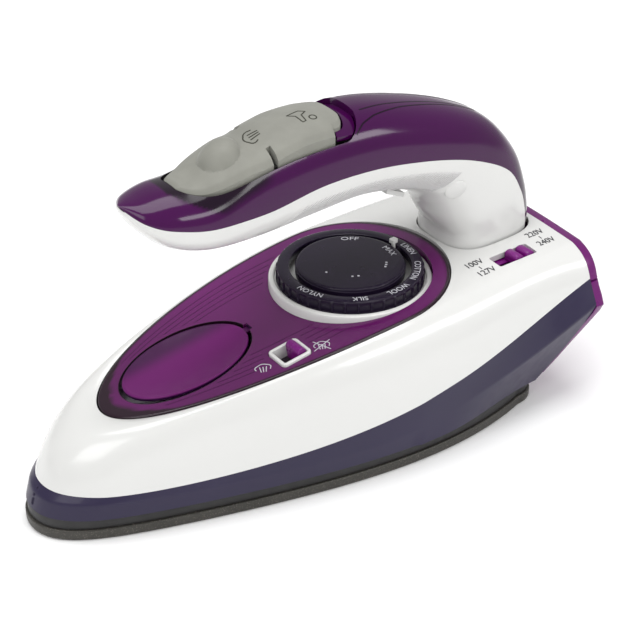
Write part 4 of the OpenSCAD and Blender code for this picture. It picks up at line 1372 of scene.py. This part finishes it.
def build_recess_floor():
    """Sunken ledge of the cover between the pad's rear end and the end of the recess."""
    half, depth, thick, gap, overlap = 12.2, 1.5, 1.4, 0.9, 0.5
    rings = []
    for a in evenly(-math.pi / 2, math.pi / 2, 48):
        y = half * math.sin(a)
        top = [(x, y, pad_z(x) - 4.6 * (abs(y) / PAD_HALF) ** 2.4 - depth)
               for x in evenly(pad_rear(y) + gap, recess_rear(y) + overlap, 8)]
        rings.append(top + [(x, y, z - thick) for x, y, z in reversed(top)])
    piece("recess_floor", loft(rings), "handle", "handle_tint", sharp=40)


def pad_height(x, y):
    """Top of the button pad, with its dome and the pinch across the middle."""
    base = pad_z(x) - 0.15 - 4.2 * (abs(y) / PAD_HALF) ** 2.4
    dome = 4.0 * max(0.0, 1 - ((x + 27.5) ** 2 + (y + 1) ** 2) / 6.6 ** 2) ** 0.55
    pinch = 0.9 * math.exp(-((x + 17) / 3.6) ** 2)
    wing = 0.7 * smooth(-12, -2, x) * (1 - smooth(6, 19, x)) * smooth(4, 12, abs(y))
    return base + dome - pinch + wing


def build_pad():
    rows, cols = 150, 50
    rings = []
    for x in evenly(*PAD_X, rows):
        w = pad_w(x)
        ys = [w * math.sin(a) for a in evenly(-math.pi / 2, math.pi / 2, cols)]
        top = []
        for y in ys:
            d = min(w - abs(y), x - PAD_X[0], PAD_X[1] - x)
            top.append((x, y, pad_height(x, y) - 0.7 * max(0.0, PAD_CHAMFER - d)))
        rings.append(top + [(x, y, pad_z(x) - 5 * (abs(y) / PAD_HALF) ** 2.2 - PAD_T)
                            for y in reversed(ys)])
    pad = piece("pump_pad", loft(rings), "rocker", "button_rubber", sharp=30)
    for side in (1, -1):
        notch = [(x, side * y) for x, y in ((-14.9, -20), (-13.2, -20), (-13.2, -8.4),
                                            (-14.9, -8.4))]
        cut(pad, prism(notch, RECESS_LOW, ABOVE_HANDLE))
    finish_piece(pad, "rocker", sharp=30, replaces=["button_pad"])
    block = prism([(-16.2, -7.8), (-11.8, -7.8), (-11.8, 7.8), (-16.2, 7.8)], 105.2, 113)
    piece("rocker_block", block, "rocker", "button_rubber", bevel=0.2)

    nozzle = [(-3.4, 3.6), (1.6, 3.6), (3.2, 1.8), (0.4, 0.8), (-0.8, -2.6), (-2.2, -2.6),
              (-1.6, 1.4), (-3.4, 3.6)]
    drop = polar(2.4, -2.4, 1.2, 1.2, [22.5 * i for i in range(17)])
    shapes = [icon_ribbon(line, (-15.2, -1.0), pad_height, 0.42, math.radians(80))
              for line in cloud_icon(3.4)]
    shapes += [icon_ribbon(line, (3.0, -2.5), pad_height, 0.4, math.radians(10))
               for line in (nozzle, drop)]
    piece("pad_icons", merge_shapes(*shapes), "rocker", "button_rubber", INK_DARK)


# ---------- room, light, camera ----------

LOOK_AT = Vector((11.33, 0.0, 38.22)) * MM


def build_room():
    size = 4.0
    mesh = bpy.data.meshes.new("floor")
    mesh.from_pydata([(-size, -size, 0), (size, -size, 0), (size, size, 0), (-size, size, 0)], [],
                     [(0, 1, 2, 3)])
    floor = bpy.data.objects.new("floor", mesh)
    bpy.context.scene.collection.objects.link(floor)
    n = Nodes("pale_floor")
    n.link(n.blend(n.noise(0.01, 2.0), srgb(252, 252, 252), srgb(254, 254, 254)),
           n.shader.inputs["Base Color"])
    n.shader.inputs["Roughness"].default_value = 0.8
    mesh.materials.append(n.material)


def soft_light(name, place, aim, width, height, power):
    data = bpy.data.lights.new(name, "AREA")
    data.shape = "RECTANGLE"
    data.size, data.size_y = width, height
    data.energy = power
    light = bpy.data.objects.new(name, data)
    bpy.context.scene.collection.objects.link(light)
    light.location = place
    light.rotation_euler = (Vector(aim) - Vector(place)).to_track_quat("-Z", "Y").to_euler()


def build_lights():
    world = bpy.data.worlds.new("studio")
    bpy.context.scene.world = world
    world.use_nodes = True
    world.node_tree.nodes["Background"].inputs[0].default_value = (1, 1, 1, 1)
    world.node_tree.nodes["Background"].inputs[1].default_value = 0.5
    soft_light("top_box", (0.0, 0.1, 1.1), (0, 0, 0.05), 0.9, 0.7, 8)
    soft_light("left_box", (-0.9, -0.3, 0.7), (0, 0, 0.05), 0.6, 0.6, 3.5)
    soft_light("front_strip", (0.5, -0.9, 0.6), (0.02, 0, 0.06), 0.8, 0.25, 4.5)
    bpy.context.scene.view_settings.view_transform = "Standard"


def build_camera():
    azimuth, elevation, distance = math.radians(-35.391), math.radians(32.048), 0.58227
    away = Vector((math.sin(azimuth) * math.cos(elevation),
                   -math.cos(azimuth) * math.cos(elevation), math.sin(elevation)))
    data = bpy.data.cameras.new("camera")
    data.lens = 95.96
    data.sensor_width = 36
    camera = bpy.data.objects.new("camera", data)
    bpy.context.scene.collection.objects.link(camera)
    camera.location = LOOK_AT + away * distance
    camera.rotation_euler = (-away).to_track_quat("-Z", "Y").to_euler()
    bpy.context.scene.camera = camera


build_camera()
build_room()
build_lights()
dress_cad_nodes()
build_sole()
build_insulator()
build_skirt()
build_white_shell()
build_heel_plate()
build_tank()
build_tank_grooves()
build_filler()
build_dial()
build_steam_selector()
build_voltage_selector()
build_handle()
build_grip()
build_boss()
build_style_lines()
build_recess_floor()
build_pad()

bpy.context.view_layer.update()
